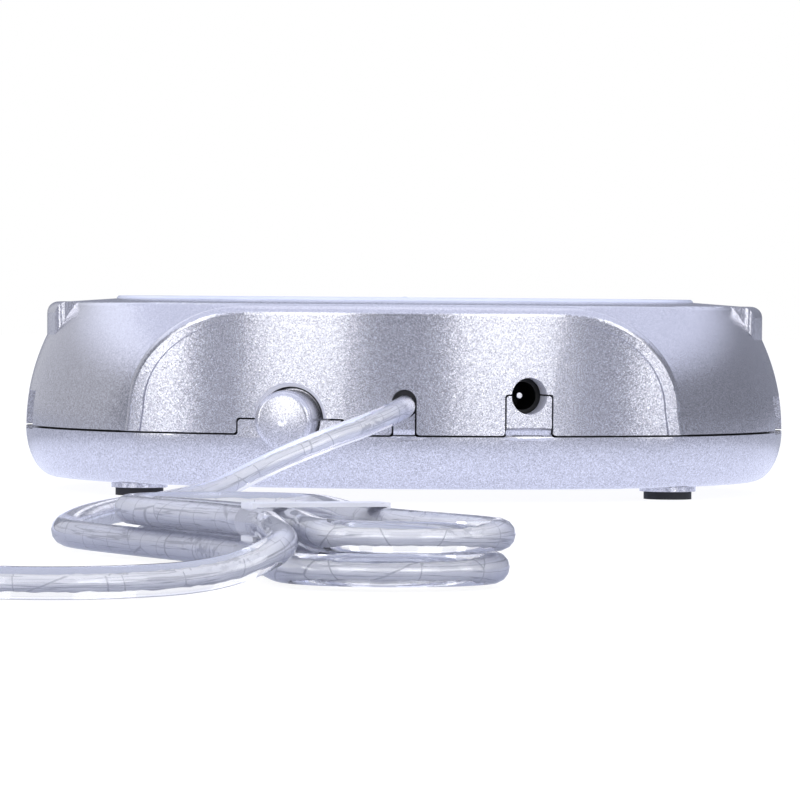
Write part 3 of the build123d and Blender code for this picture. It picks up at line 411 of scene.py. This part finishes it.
def moulded_rubber():
    """Black moulded rubber: almost no sheen, a fine mottled skin."""
    material, tree, shader = fresh_material("moulded_rubber")
    place = add(tree, "ShaderNodeTexCoord")
    # The skin's grain is really about 0.1 mm; drawn 0.5 mm across so that it shows
    grain = add(
        tree,
        "ShaderNodeTexNoise",
        {"Scale": per_mm(0.5), "Detail": 3.0},
        {"Vector": (place, "Object")},
    )
    ramp = add(tree, "ShaderNodeMapRange", {"To Min": 0.6, "To Max": 0.85}, {"Value": (grain, "Fac")})
    mix = add(
        tree,
        "ShaderNodeMix",
        {"data_type": "RGBA", COLOUR_A: tint("#1a1a1c"), COLOUR_B: tint("#2a2a2d")},
        {0: (grain, "Fac")},
    )
    bump = add(tree, "ShaderNodeBump", {"Strength": 0.3, "Distance": 0.05 * MM}, {"Height": (grain, "Fac")})
    tree.links.new(mix.outputs[COLOUR_OUT], shader.inputs["Base Color"])
    tree.links.new(ramp.outputs["Result"], shader.inputs["Roughness"])
    tree.links.new(bump.outputs["Normal"], shader.inputs["Normal"])
    return material


def moulded_plastic(name, dark, light, rough, grain_mm=0.35):
    """Injection-moulded plastic: a faint spark-eroded grain and slight mottling between two tones.

    The grain of the mould is really about 0.1 mm, and drawn 0.35 mm across so that it shows.
    """
    material, tree, shader = fresh_material(name)
    place = add(tree, "ShaderNodeTexCoord")
    cloud = add(
        tree,
        "ShaderNodeTexNoise",
        {"Scale": per_mm(4), "Detail": 3.0},
        {"Vector": (place, "Object")},
    )
    grain = add(
        tree,
        "ShaderNodeTexNoise",
        {"Scale": per_mm(grain_mm), "Detail": 2.0},
        {"Vector": (place, "Object")},
    )
    mix = add(
        tree,
        "ShaderNodeMix",
        {"data_type": "RGBA", COLOUR_A: tint(dark), COLOUR_B: tint(light)},
        {0: (cloud, "Fac")},
    )
    sheen = add(
        tree,
        "ShaderNodeMapRange",
        {"To Min": rough - 0.06, "To Max": rough + 0.06},
        {"Value": (grain, "Fac")},
    )
    bump = add(tree, "ShaderNodeBump", {"Strength": 0.15, "Distance": 0.02 * MM}, {"Height": (grain, "Fac")})
    tree.links.new(mix.outputs[COLOUR_OUT], shader.inputs["Base Color"])
    tree.links.new(sheen.outputs["Result"], shader.inputs["Roughness"])
    tree.links.new(bump.outputs["Normal"], shader.inputs["Normal"])
    return material


def plated_metal(name, dark, light, rough, brush=(1.0, 1.0, 1.0), grain_mm=0.6):
    """Plated or bare metal: reflective, with a stretched grain from rolling or polishing.

    The lines of the grain are really hundredths of a millimetre, and drawn 0.6 mm wide so that they show.
    """
    material, tree, shader = fresh_material(name)
    place = add(tree, "ShaderNodeTexCoord")
    stretch = add(tree, "ShaderNodeMapping", {"Scale": brush}, {"Vector": (place, "Object")})
    grain = add(
        tree,
        "ShaderNodeTexNoise",
        {"Scale": per_mm(grain_mm), "Detail": 4.0},
        {"Vector": (stretch, "Vector")},
    )
    mix = add(
        tree,
        "ShaderNodeMix",
        {"data_type": "RGBA", COLOUR_A: tint(dark), COLOUR_B: tint(light)},
        {0: (grain, "Fac")},
    )
    sheen = add(
        tree,
        "ShaderNodeMapRange",
        {"To Min": rough - 0.08, "To Max": rough + 0.1},
        {"Value": (grain, "Fac")},
    )
    tree.links.new(mix.outputs[COLOUR_OUT], shader.inputs["Base Color"])
    tree.links.new(sheen.outputs["Result"], shader.inputs["Roughness"])
    shader.inputs["Metallic"].default_value = 1.0
    return material


def clear_pvc():
    """Clear soft PVC: glassy, faintly blue, with slight haze where it has been handled."""
    material, tree, shader = fresh_material("clear_pvc")
    place = add(tree, "ShaderNodeTexCoord")
    haze = add(
        tree,
        "ShaderNodeTexNoise",
        {"Scale": per_mm(6), "Detail": 3.0},
        {"Vector": (place, "Object")},
    )
    rough = add(tree, "ShaderNodeMapRange", {"To Min": 0.02, "To Max": 0.08}, {"Value": (haze, "Fac")})
    # Towards its rims the jacket is drawn darker and bluer: partly its own tint, seen along its wall, and
    # partly painted shade standing in for the darker surroundings seen through its edges
    rim = add(tree, "ShaderNodeLayerWeight", {"Blend": 0.5})
    rim_tint_and_shade = add(
        tree,
        "ShaderNodeMapRange",
        {"From Min": 0.35, "From Max": 0.8, "To Min": 0.0, "To Max": 1.0},
        {"Value": (rim, "Facing")},
    )
    mix = add(
        tree,
        "ShaderNodeMix",
        {"data_type": "RGBA", COLOUR_A: tint("#f8f9fe"), COLOUR_B: tint("#ccd0ea")},
        {0: (rim_tint_and_shade, "Result")},
    )
    tree.links.new(mix.outputs[COLOUR_OUT], shader.inputs["Base Color"])
    tree.links.new(rough.outputs["Result"], shader.inputs["Roughness"])
    shader.inputs["IOR"].default_value = 1.52
    shader.inputs["Transmission Weight"].default_value = 0.98
    return material


def aluminium_foil():
    """Aluminium foil pulled over the wires: pale streaks along it, a few ring creases, crinkled patches."""
    material, tree, shader = fresh_material("aluminium_foil")
    along = add(tree, "ShaderNodeUVMap", {"uv_map": "along"})
    # The map runs in millimetres along the cord and once round it. Streaks are 33 mm long, seven round it
    streak_scale = add(tree, "ShaderNodeMapping", {"Scale": (0.03, 7.0, 1.0)}, {"Vector": (along, "UV")})
    streak = add(
        tree,
        "ShaderNodeTexNoise",
        {"Scale": 1.0, "Detail": 2.0},
        {"Vector": (streak_scale, "Vector")},
    )
    base = add(
        tree,
        "ShaderNodeMix",
        {"data_type": "RGBA", COLOUR_A: tint("#e6e8f3"), COLOUR_B: tint("#ffffff")},
        {0: (streak, "Fac")},
    )
    off_centre = add(tree, "ShaderNodeMath", {"operation": "SUBTRACT", 1: 0.5}, {0: (streak, "Fac")})
    seam_near = add(tree, "ShaderNodeMath", {"operation": "ABSOLUTE"}, {0: (off_centre, "Value")})
    seam_line = add(
        tree,
        "ShaderNodeMapRange",
        {"From Min": 0.004, "From Max": 0.02, "To Min": 0.5, "To Max": 0.0},
        {"Value": (seam_near, "Value")},
    )
    # Creases in the foil go most of the way round it, about 7 mm apart
    ring_scale = add(tree, "ShaderNodeMapping", {"Scale": (0.14, 0.45, 1.0)}, {"Vector": (along, "UV")})
    ring = add(
        tree,
        "ShaderNodeTexVoronoi",
        {"feature": "DISTANCE_TO_EDGE", "Scale": 1.0, "Randomness": 1.0},
        {"Vector": (ring_scale, "Vector")},
    )
    ring_line = add(
        tree,
        "ShaderNodeMapRange",
        {"From Min": 0.004, "From Max": 0.014, "To Min": 0.5, "To Max": 0.0},
        {"Value": (ring, "Distance")},
    )
    # Patches about 20 mm long hold crinkles about 1 mm long
    patch_scale = add(tree, "ShaderNodeMapping", {"Scale": (0.05, 1.0, 1.0)}, {"Vector": (along, "UV")})
    patch = add(
        tree,
        "ShaderNodeTexNoise",
        {"Scale": 1.0, "Detail": 1.0},
        {"Vector": (patch_scale, "Vector")},
    )
    where = add(
        tree,
        "ShaderNodeMapRange",
        {"From Min": 0.54, "From Max": 0.62, "To Min": 0.0, "To Max": 0.45},
        {"Value": (patch, "Fac")},
    )
    crinkle_scale = add(tree, "ShaderNodeMapping", {"Scale": (0.9, 6.0, 1.0)}, {"Vector": (along, "UV")})
    crinkle = add(
        tree,
        "ShaderNodeTexNoise",
        {"Scale": 1.0, "Detail": 3.0},
        {"Vector": (crinkle_scale, "Vector")},
    )
    dents = add(
        tree,
        "ShaderNodeMapRange",
        {"From Min": 0.5, "From Max": 0.56, "To Min": 0.0, "To Max": 1.0},
        {"Value": (crinkle, "Fac")},
    )
    dark = add(
        tree,
        "ShaderNodeMath",
        {"operation": "MULTIPLY"},
        {0: (dents, "Result"), 1: (where, "Result")},
    )
    lines = add(
        tree,
        "ShaderNodeMath",
        {"operation": "MAXIMUM"},
        {0: (seam_line, "Result"), 1: (ring_line, "Result")},
    )
    folds_and_shade = add(tree, "ShaderNodeMath", {"operation": "MAXIMUM"}, {0: (lines, "Value"), 1: (dark, "Value")})
    # Painted shade: the creases, seam lines and crinkles are painted darker, and sunk into the bump as well
    colour = add(
        tree,
        "ShaderNodeMix",
        {"data_type": "RGBA", COLOUR_B: tint("#878999")},
        {0: (folds_and_shade, "Value"), COLOUR_A: (base, COLOUR_OUT)},
    )
    height = add(
        tree,
        "ShaderNodeMath",
        {"operation": "SUBTRACT"},
        {0: (streak, "Fac"), 1: (folds_and_shade, "Value")},
    )
    bump = add(
        tree,
        "ShaderNodeBump",
        {"Strength": 0.4, "Distance": 0.12 * MM},
        {"Height": (height, "Value")},
    )
    tree.links.new(colour.outputs[COLOUR_OUT], shader.inputs["Base Color"])
    tree.links.new(bump.outputs["Normal"], shader.inputs["Normal"])
    shader.inputs["Metallic"].default_value = 0.25
    shader.inputs["Roughness"].default_value = 0.3
    return material


def white_paper():
    """Seamless white paper: pale and even, and it keeps a soft shadow."""
    material, tree, shader = fresh_material("white_paper")
    place = add(tree, "ShaderNodeTexCoord")
    fibre = add(
        tree,
        "ShaderNodeTexNoise",
        {"Scale": per_mm(2.5), "Detail": 3.0},
        {"Vector": (place, "Object")},
    )
    mix = add(
        tree,
        "ShaderNodeMix",
        {"data_type": "RGBA", COLOUR_A: tint("#f4f4f6"), COLOUR_B: tint("#fafafb")},
        {0: (fibre, "Fac")},
    )
    tree.links.new(mix.outputs[COLOUR_OUT], shader.inputs["Base Color"])
    shader.inputs["Roughness"].default_value = 0.9
    shader.inputs["Specular IOR Level"].default_value = 0.1
    path = add(tree, "ShaderNodeLightPath")
    seen = add(
        tree,
        "ShaderNodeMath",
        {"operation": "MAXIMUM"},
        {0: (path, "Is Camera Ray"), 1: (path, "Is Transmission Ray")},
    )
    # Most of what the eye sees of it is even white, and the rest keeps the shadow
    paper = add(tree, "ShaderNodeMath", {"operation": "MULTIPLY", 1: EVEN_WHITE}, {0: (seen, "Value")})
    # In reflections the paper glows with a painted pool of light, bright by the object and darker further
    # out
    away = add(tree, "ShaderNodeVectorMath", {"operation": "LENGTH"}, {0: (place, "Object")})
    fall = add(
        tree,
        "ShaderNodeMapRange",
        {"From Min": 0.07, "From Max": 0.15, "To Min": 1.35, "To Max": 0.64},
        {"Value": (away, "Value")},
    )
    reflected = add(tree, "ShaderNodeEmission", {"Color": tint("#e2e7fd")}, {"Strength": (fall, "Result")})
    glow = add(tree, "ShaderNodeEmission", {"Color": (1, 1, 1, 1), "Strength": 1.12})
    blend = add(
        tree,
        "ShaderNodeMixShader",
        (),
        {0: (paper, "Value"), 1: (shader, "BSDF"), 2: (glow, "Emission")},
    )
    blend = add(
        tree,
        "ShaderNodeMixShader",
        (),
        {0: (path, "Is Glossy Ray"), 1: (blend, "Shader"), 2: (reflected, "Emission")},
    )
    output = next(n for n in tree.nodes if n.type == "OUTPUT_MATERIAL")
    tree.links.new(blend.outputs["Shader"], output.inputs["Surface"])
    return material


def finish_nodes():
    """Gives every CAD node its finish."""
    shells = [n for n in nodes if n.startswith("socket_shell")]
    tongues = [n for n in nodes if n.startswith("socket_tongue")]
    finishes = {
        case_paint(): ["upper_shell", "lower_shell"],
        button_paint(): ["power_button"],
        moulded_rubber(): ["rubber_feet"],
        # Zinc plated in a barrel: an even grey, half bright
        plated_metal("zinc_plate", "#8d9096", "#b4b7bc", 0.35): [
            "case_screws",
            "board_screws",
            "retainer_screws",
        ],
        # Polycarbonate from a polished mould: pale blue, with an even gloss
        moulded_plastic("pale_blue_polycarbonate", "#dce1f2", "#e9edfa", 0.2): ["plate_ring"],
        # Aluminium brushed one way and then anodised: satin, with fine lines across it
        plated_metal("anodised_aluminium", "#b9bbc2", "#d2d4da", 0.38, (1.0, 12.0, 1.0)): ["heating_plate"],
        # Cast polyimide film: amber and smooth
        moulded_plastic("amber_polyimide_film", "#8a4a12", "#b06a20", 0.3): ["heater_film"],
        # Needled ceramic fibre: off-white, with no sheen
        moulded_plastic("ceramic_felt", "#d9d6cc", "#f0eee6", 0.95, 0.2): ["insulation_pad"],
        # Both pressed from mill-finish sheet: a soft grey sheen
        plated_metal("pressed_aluminium", "#9c9ea3", "#c0c2c6", 0.4): ["thermal_cutoff"],
        plated_metal("pressed_steel", "#9c9ea3", "#c0c2c6", 0.4): ["heater_retainer"],
        # Extruded silicone: deep red and smooth
        moulded_plastic("red_silicone_sleeve", "#8d1712", "#a8211b", 0.35): ["heater_leads", "led_leads"],
        # Lacquer cured over the board's copper: dark green, with some gloss
        moulded_plastic("green_solder_mask", "#0f4a22", "#17592b", 0.3): ["circuit_board"],
        # Moulded polyamide: a deep, half matt black, painted darker than the plastic itself as the shade
        # inside the jack's hole
        moulded_plastic("black_polyamide", "#040405", "#0a0a0b", 0.5): ["jack_body"],
        # Moulded ABS and moulded epoxy: charcoal, with a satin skin
        moulded_plastic("black_abs", "#141416", "#202023", 0.45): ["switch_body", "cable_grommet"],
        moulded_plastic("black_epoxy", "#141416", "#202023", 0.45): ["hub_chip"],
        # Bright electroplated nickel on pins, springs and folded shells: mirror-like
        plated_metal("bright_nickel", "#b9b9bd", "#dedee2", 0.2): [
            "crystal_can",
            "jack_pin",
            "jack_spring",
            "button_spring",
            "plug_shell",
            *shells,
        ],
        # PVC sleeve shrunk on with heat: dark blue and smooth
        moulded_plastic("shrunk_pvc_sleeve", "#10142c", "#1a2040", 0.3): ["capacitors"],
        # Moulded nylon: off-white and half matt
        moulded_plastic("white_nylon", "#d8d8d6", "#eeeeec", 0.5): [
            "button_plunger",
            "tail_connector",
            "plug_tongue",
            *tongues,
        ],
        # Cast epoxy lens: pale and glossy
        moulded_plastic("clear_epoxy", "#cfe0f4", "#e4effc", 0.1): ["indicator_led"],
        # Moulded polyethylene: soft white and half matt
        moulded_plastic("soft_polyethylene", "#dcdde2", "#f0f0f4", 0.5): ["hank_tie"],
        # PVC moulded over the wires: milky, with some gloss
        moulded_plastic("translucent_pvc", "#d8dae6", "#eceefa", 0.3): ["plug_overmould", "cable_tail"],
    }
    for material, members in finishes.items():
        for name in members:
            nodes[name].data.materials.clear()
            nodes[name].data.materials.append(material)


# ---- Cord ---------------------------------------------------------------------------------------
# Its route is written in millimetres, and the hank's angles in degrees. In the hank it is folded round
# two circles and a narrower one between them, each given by its place along the hank and its radius

HANK_PLACE = (-12.0, -280.0)
HANK_TURN = math.radians(-72)
HANK_FAN = (-36.0, 14.8)
HANK_WAIST = (4.0, 8.2)
HANK_END = (34.0, 14.8)
HANK_LOW = 0.5
TURN_PITCH = 3.93
BEND_POINTS = 6
FAN_BACK = (0.0, 2.0, 2.0)
END_BACK = (3.0, 3.0, 0.0)

EXIT_ROUTE = [
    (0.0, -61.35, 15.7),
    (0.0, -71.05, 15.7),
    (-4.2, -79.5, 13.7),
    (-12.0, -87.5, 11.0),
    (-21.0, -94.0, 7.4),
    (-29.0, -103.5, 3.1),
    (-36.5, -118.5, 1.85),
    (-41.5, -138.0, 1.85),
    (-44.5, -160.0, 1.85),
    (-46.0, -184.0, 1.85),
    (-46.0, -208.0, 1.85),
    (-43.8, -230.0, 2.2),
]
END_ROUTE = [
    (-20.5, -335.0, 2.35),
    (-33.0, -343.5, 1.85),
    (-48.0, -344.0, 1.85),
    (-60.5, -336.0, 2.6),
    (-66.0, -322.0, 4.0),
    (-66.0, -309.0, 4.0),
]
HANK_EXIT = (45.0, -16.0, 5.4)
SHORT_START = -102
SHORT_SWEEP = 204
FAN_START = 81
FAN_SWEEP = 198
LOW_LAYER = CORD_DIAMETER / MM / 2 + HANK_LOW
HIGH_LAYER = LOW_LAYER + TURN_PITCH


def in_hank(along, across, level):
    """A place given along and across the hank, in the frame of the object."""
    turn = Matrix.Rotation(HANK_TURN, 3, "Z") @ Vector((along, across, 0))
    return (HANK_PLACE[0] + turn.x, HANK_PLACE[1] + turn.y, level)


def lane(circle, angle, inset, level, grow=1.0):
    """Control point beside one of the circles that the cord is folded round."""
    middle, radius = circle
    reach = (radius - CORD_DIAMETER / MM / 2 - inset) * grow
    turn = math.radians(angle)
    return in_hank(middle + reach * math.cos(turn), reach * math.sin(turn), level)


def bend(circle, start, sweep, inset, level):
    """Control points of one folded end, with its inset and level as functions of the way round it."""
    grow = 1 / math.cos(math.radians(sweep / (BEND_POINTS - 1) / 2))
    points = []
    for i in range(BEND_POINTS):
        share = i / (BEND_POINTS - 1)
        ends = i in (0, BEND_POINTS - 1)
        points.append(lane(circle, start + sweep * share, inset(share), level(share), 1.0 if ends else grow))
    return points


def hank_turn(number, level, end_inset, fan_inset, fan_level):
    """One turn: the waist, the short bends, the waist again and the fanned bends."""
    fan = (HANK_FAN[0] + FAN_BACK[number], HANK_FAN[1])
    end = (HANK_END[0] - END_BACK[number], HANK_END[1])
    points = [lane(HANK_WAIST, -90, end_inset(0), level)]
    points += bend(end, SHORT_START, SHORT_SWEEP, end_inset, lambda share: level)
    points.append(lane(HANK_WAIST, 90, end_inset(1), level))
    return points + bend(fan, FAN_START, FAN_SWEEP, fan_inset, fan_level)


def hank_points():
    """Three turns and a half: outside and low, inside and low, inside rising to outside on top."""
    quarter = math.pi / 2

    def outside(share):
        return 0.0

    def inside(share):
        return TURN_PITCH

    def inwards(share):
        return TURN_PITCH * (1 - math.cos(quarter * share))

    def outwards(share):
        return TURN_PITCH * (1 + math.cos(math.pi * share)) / 2

    def low(share):
        return LOW_LAYER

    def rising(share):
        return LOW_LAYER + TURN_PITCH * math.sin(quarter * share)

    def high(share):
        return HIGH_LAYER

    last = (HANK_END[0] - END_BACK[0] + 1, HANK_END[1])
    points = [lane(HANK_FAN, FAN_START + FAN_SWEEP, 0, LOW_LAYER)]
    points += hank_turn(0, LOW_LAYER, outside, inwards, low)
    points += hank_turn(1, LOW_LAYER, inside, inside, rising)
    points += hank_turn(2, HIGH_LAYER, outwards, outside, high)
    points += [lane(HANK_WAIST, -90, 0, HIGH_LAYER), lane(last, SHORT_START, 0, HIGH_LAYER)]
    return points + [in_hank(*HANK_EXIT)]


def cord_curve(name, radius):
    """The whole cord as one smooth spline, from the slot through the hank to the plug."""
    route = EXIT_ROUTE + hank_points() + END_ROUTE
    curve = bpy.data.curves.new(name, "CURVE")
    curve.dimensions = "3D"
    curve.resolution_u = CORD_STEPS
    spline = curve.splines.new("NURBS")
    spline.points.add(len(route) - 1)
    for point, place in zip(spline.points, route):
        point.co = (*(c * MM for c in place), 1.0)
    spline.order_u = CORD_ORDER
    spline.use_endpoint_u = True
    curve.bevel_depth = radius
    curve.bevel_resolution = CORD_ROUND
    curve.use_fill_caps = radius > 0
    piece = bpy.data.objects.new(name, curve)
    bpy.context.scene.collection.objects.link(piece)
    return piece


def line_points():
    """Points along the cord's centre, read from its spline, with the length up to each."""
    line = cord_curve("cord_line", 0.0)
    mesh = bpy.data.meshes.new_from_object(line)
    points = [v.co.copy() for v in mesh.vertices]
    bpy.data.meshes.remove(mesh)
    bpy.data.objects.remove(line)
    lengths = [0.0]
    for a, b in zip(points, points[1:]):
        lengths.append(lengths[-1] + (b - a).length)
    return points, lengths


def resample(points, lengths, step):
    """Evenly spaced points along a line."""
    count = int(lengths[-1] / step)
    spaced, k = [], 0
    for i in range(count + 1):
        at = lengths[-1] * i / count
        while lengths[k + 1] < at and k < len(lengths) - 2:
            k += 1
        share = (at - lengths[k]) / (lengths[k + 1] - lengths[k])
        spaced.append(points[k].lerp(points[k + 1], share))
    return spaced


def make_core(points, step):
    """Foil-wrapped core: a thin tube with shallow uneven creases, mapped in millimetres along it."""
    mesh = bpy.data.meshes.new("cord_core")
    build = bmesh.new()
    along = build.loops.layers.uv.new("along")
    side = Vector((0, 0, 1))
    rings = []
    for i, place in enumerate(points):
        ahead = points[min(i + 1, len(points) - 1)] - points[max(i - 1, 0)]
        ahead.normalize()
        side = (side - ahead * side.dot(ahead)).normalized()
        across = ahead.cross(side)
        ring = []
        for j in range(CORE_SIDES):
            turn = 2 * math.pi * j / CORE_SIDES
            spot = (math.cos(turn) * CREASE_ROUND, math.sin(turn) * CREASE_ROUND)
            crease = noise.noise(Vector((i * step / CREASE_LONG, *spot))) * CREASE_DEEP
            reach = CORE_DIAMETER / 2 + crease
            ring.append(build.verts.new(place + (side * math.cos(turn) + across * math.sin(turn)) * reach))
        rings.append(ring)
    for i, (one, two) in enumerate(zip(rings, rings[1:])):
        for j in range(CORE_SIDES):
            k = (j + 1) % CORE_SIDES
            face = build.faces.new((one[j], one[k], two[k], two[j]))
            face.smooth = True
            for loop, (u, v) in zip(face.loops, ((i, j), (i, j + 1), (i + 1, j + 1), (i + 1, j))):
                loop[along].uv = (u * step / MM, v / CORE_SIDES)
    for ring, flip in ((rings[0], True), (rings[-1], False)):
        build.faces.new(reversed(ring) if flip else ring)
    bmesh.ops.recalc_face_normals(build, faces=build.faces)
    build.to_mesh(mesh)
    build.free()
    core = bpy.data.objects.new("cord_core", mesh)
    bpy.context.scene.collection.objects.link(core)
    core.data.materials.append(aluminium_foil())
    return core


def make_cord():
    """Clear jacket over a foil-wrapped core, both attached to the case, in place of the cord's hidden nodes.
    """
    jacket = cord_curve("cord_jacket", CORD_DIAMETER / 2)
    jacket.data.materials.append(clear_pvc())
    points, lengths = line_points()
    spaced = resample(points, lengths, CORE_STEP)
    core = make_core(spaced[CORE_SHORT:-CORE_SHORT], lengths[-1] / (len(spaced) - 1))
    for piece in (jacket, core):
        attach(piece, CASE)
    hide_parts("usb_cord", "cord_hank", "cord_end")
    print("cord length", round(lengths[-1], 4))


# ---- Stage --------------------------------------------------------------------------------------

# The camera's angles are in degrees, and the lamps' distances in metres
CAMERA_AWAY = 950 * MM
CAMERA_HIGH = 34.4 * MM
CAMERA_ASIDE = -0.7 * MM
CAMERA_DOWN = 1.14
CAMERA_ROLL = 0.45
FOCAL_PIXELS = 5510
PICTURE_PIXELS = 800
SENSOR = 36

FLOOR_SIZE = 6
LAMPS_AIM = (0, 0, 20 * MM)
LAMP_AWAY = 1.2
LAMP_HIGH = 0.2
LAMP_TALL = 0.8


def make_camera():
    """Long lens, almost level with the top of the case."""
    lens = bpy.data.cameras.new("camera")
    lens.sensor_width = SENSOR
    lens.lens = FOCAL_PIXELS / PICTURE_PIXELS * lens.sensor_width
    camera = bpy.data.objects.new("camera", lens)
    bpy.context.scene.collection.objects.link(camera)
    place = Matrix.Translation((CAMERA_ASIDE, -CAMERA_AWAY, CAMERA_HIGH))
    aim = Matrix.Rotation(math.radians(90 - CAMERA_DOWN), 4, "X")
    roll = Matrix.Rotation(math.radians(CAMERA_ROLL), 4, "Z")
    camera.matrix_world = place @ aim @ roll
    bpy.context.scene.camera = camera


def soft_light(name, azimuth, width, power, distance=LAMP_AWAY, height=LAMP_HIGH, tall=LAMP_TALL):
    """Rectangular soft box, set round the object by its azimuth from -Y."""
    lamp = bpy.data.lights.new(name, "AREA")
    lamp.shape = "RECTANGLE"
    lamp.size, lamp.size_y = width, tall
    lamp.energy = power
    light = bpy.data.objects.new(name, lamp)
    bpy.context.scene.collection.objects.link(light)
    angle = math.radians(azimuth)
    light.location = (distance * math.sin(angle), -distance * math.cos(angle), height)
    light.rotation_euler = (Vector(LAMPS_AIM) - light.location).to_track_quat("-Z", "Y").to_euler()


def make_world():
    """White studio: dim at eye level behind the camera, brighter overhead and towards the backdrop."""
    world = bpy.data.worlds.new("studio")
    bpy.context.scene.world = world
    world.use_nodes = True
    tree = world.node_tree
    tree.nodes.clear()
    place = add(tree, "ShaderNodeTexCoord")
    parts = add(tree, "ShaderNodeSeparateXYZ", (), {"Vector": (place, "Generated")})
    rise = add(
        tree,
        "ShaderNodeMapRange",
        {"From Min": 0.28, "From Max": 0.47, "To Min": 0.16, "To Max": 1.15},
        {"Value": (parts, "Z")},
    )
    behind = add(
        tree,
        "ShaderNodeMapRange",
        {"From Min": 0.6, "From Max": 0.95, "To Min": 0.0, "To Max": 0.12},
        {"Value": (parts, "Y")},
    )
    glow = add(tree, "ShaderNodeMath", {"operation": "ADD"}, {0: (rise, "Result"), 1: (behind, "Result")})
    sky = add(tree, "ShaderNodeBackground", {"Color": tint("#e4e9ff")}, {"Strength": (glow, "Value")})
    white = add(tree, "ShaderNodeBackground", {"Color": (1, 1, 1, 1), "Strength": 1.0})
    path = add(tree, "ShaderNodeLightPath")
    seen = add(
        tree,
        "ShaderNodeMath",
        {"operation": "MAXIMUM"},
        {0: (path, "Is Camera Ray"), 1: (path, "Is Transmission Ray")},
    )
    blend = add(
        tree,
        "ShaderNodeMixShader",
        (),
        {0: (seen, "Value"), 1: (sky, "Background"), 2: (white, "Background")},
    )
    output = add(tree, "ShaderNodeOutputWorld")
    tree.links.new(blend.outputs["Shader"], output.inputs["Surface"])


def make_stage():
    """Floor, lights, world and camera."""
    clear_selection()
    bpy.ops.mesh.primitive_plane_add(size=FLOOR_SIZE, location=(0, 0, 0))
    floor = named("floor")
    floor.data.materials.append(white_paper())
    # The four boxes on the panel's side give it bright bands, with dark ones between them
    soft_light("left_box", azimuth=-25.5, width=0.54, power=3.1)
    soft_light("right_box", azimuth=26, width=0.6, power=3.4)
    soft_light("far_left_box", azimuth=-62.5, width=0.28, power=2.1)
    soft_light("far_right_box", azimuth=67, width=0.28, power=1.6)
    soft_light("rear_left_box", azimuth=-130, width=1.8, power=1.6, height=0.4)
    soft_light("top_box", azimuth=180, width=1.2, power=1.3, distance=0.2, height=1.3, tall=1.2)
    make_world()
    make_camera()


finish_nodes()
make_cord()
make_stage()

bpy.context.scene.view_settings.view_transform = "Standard"
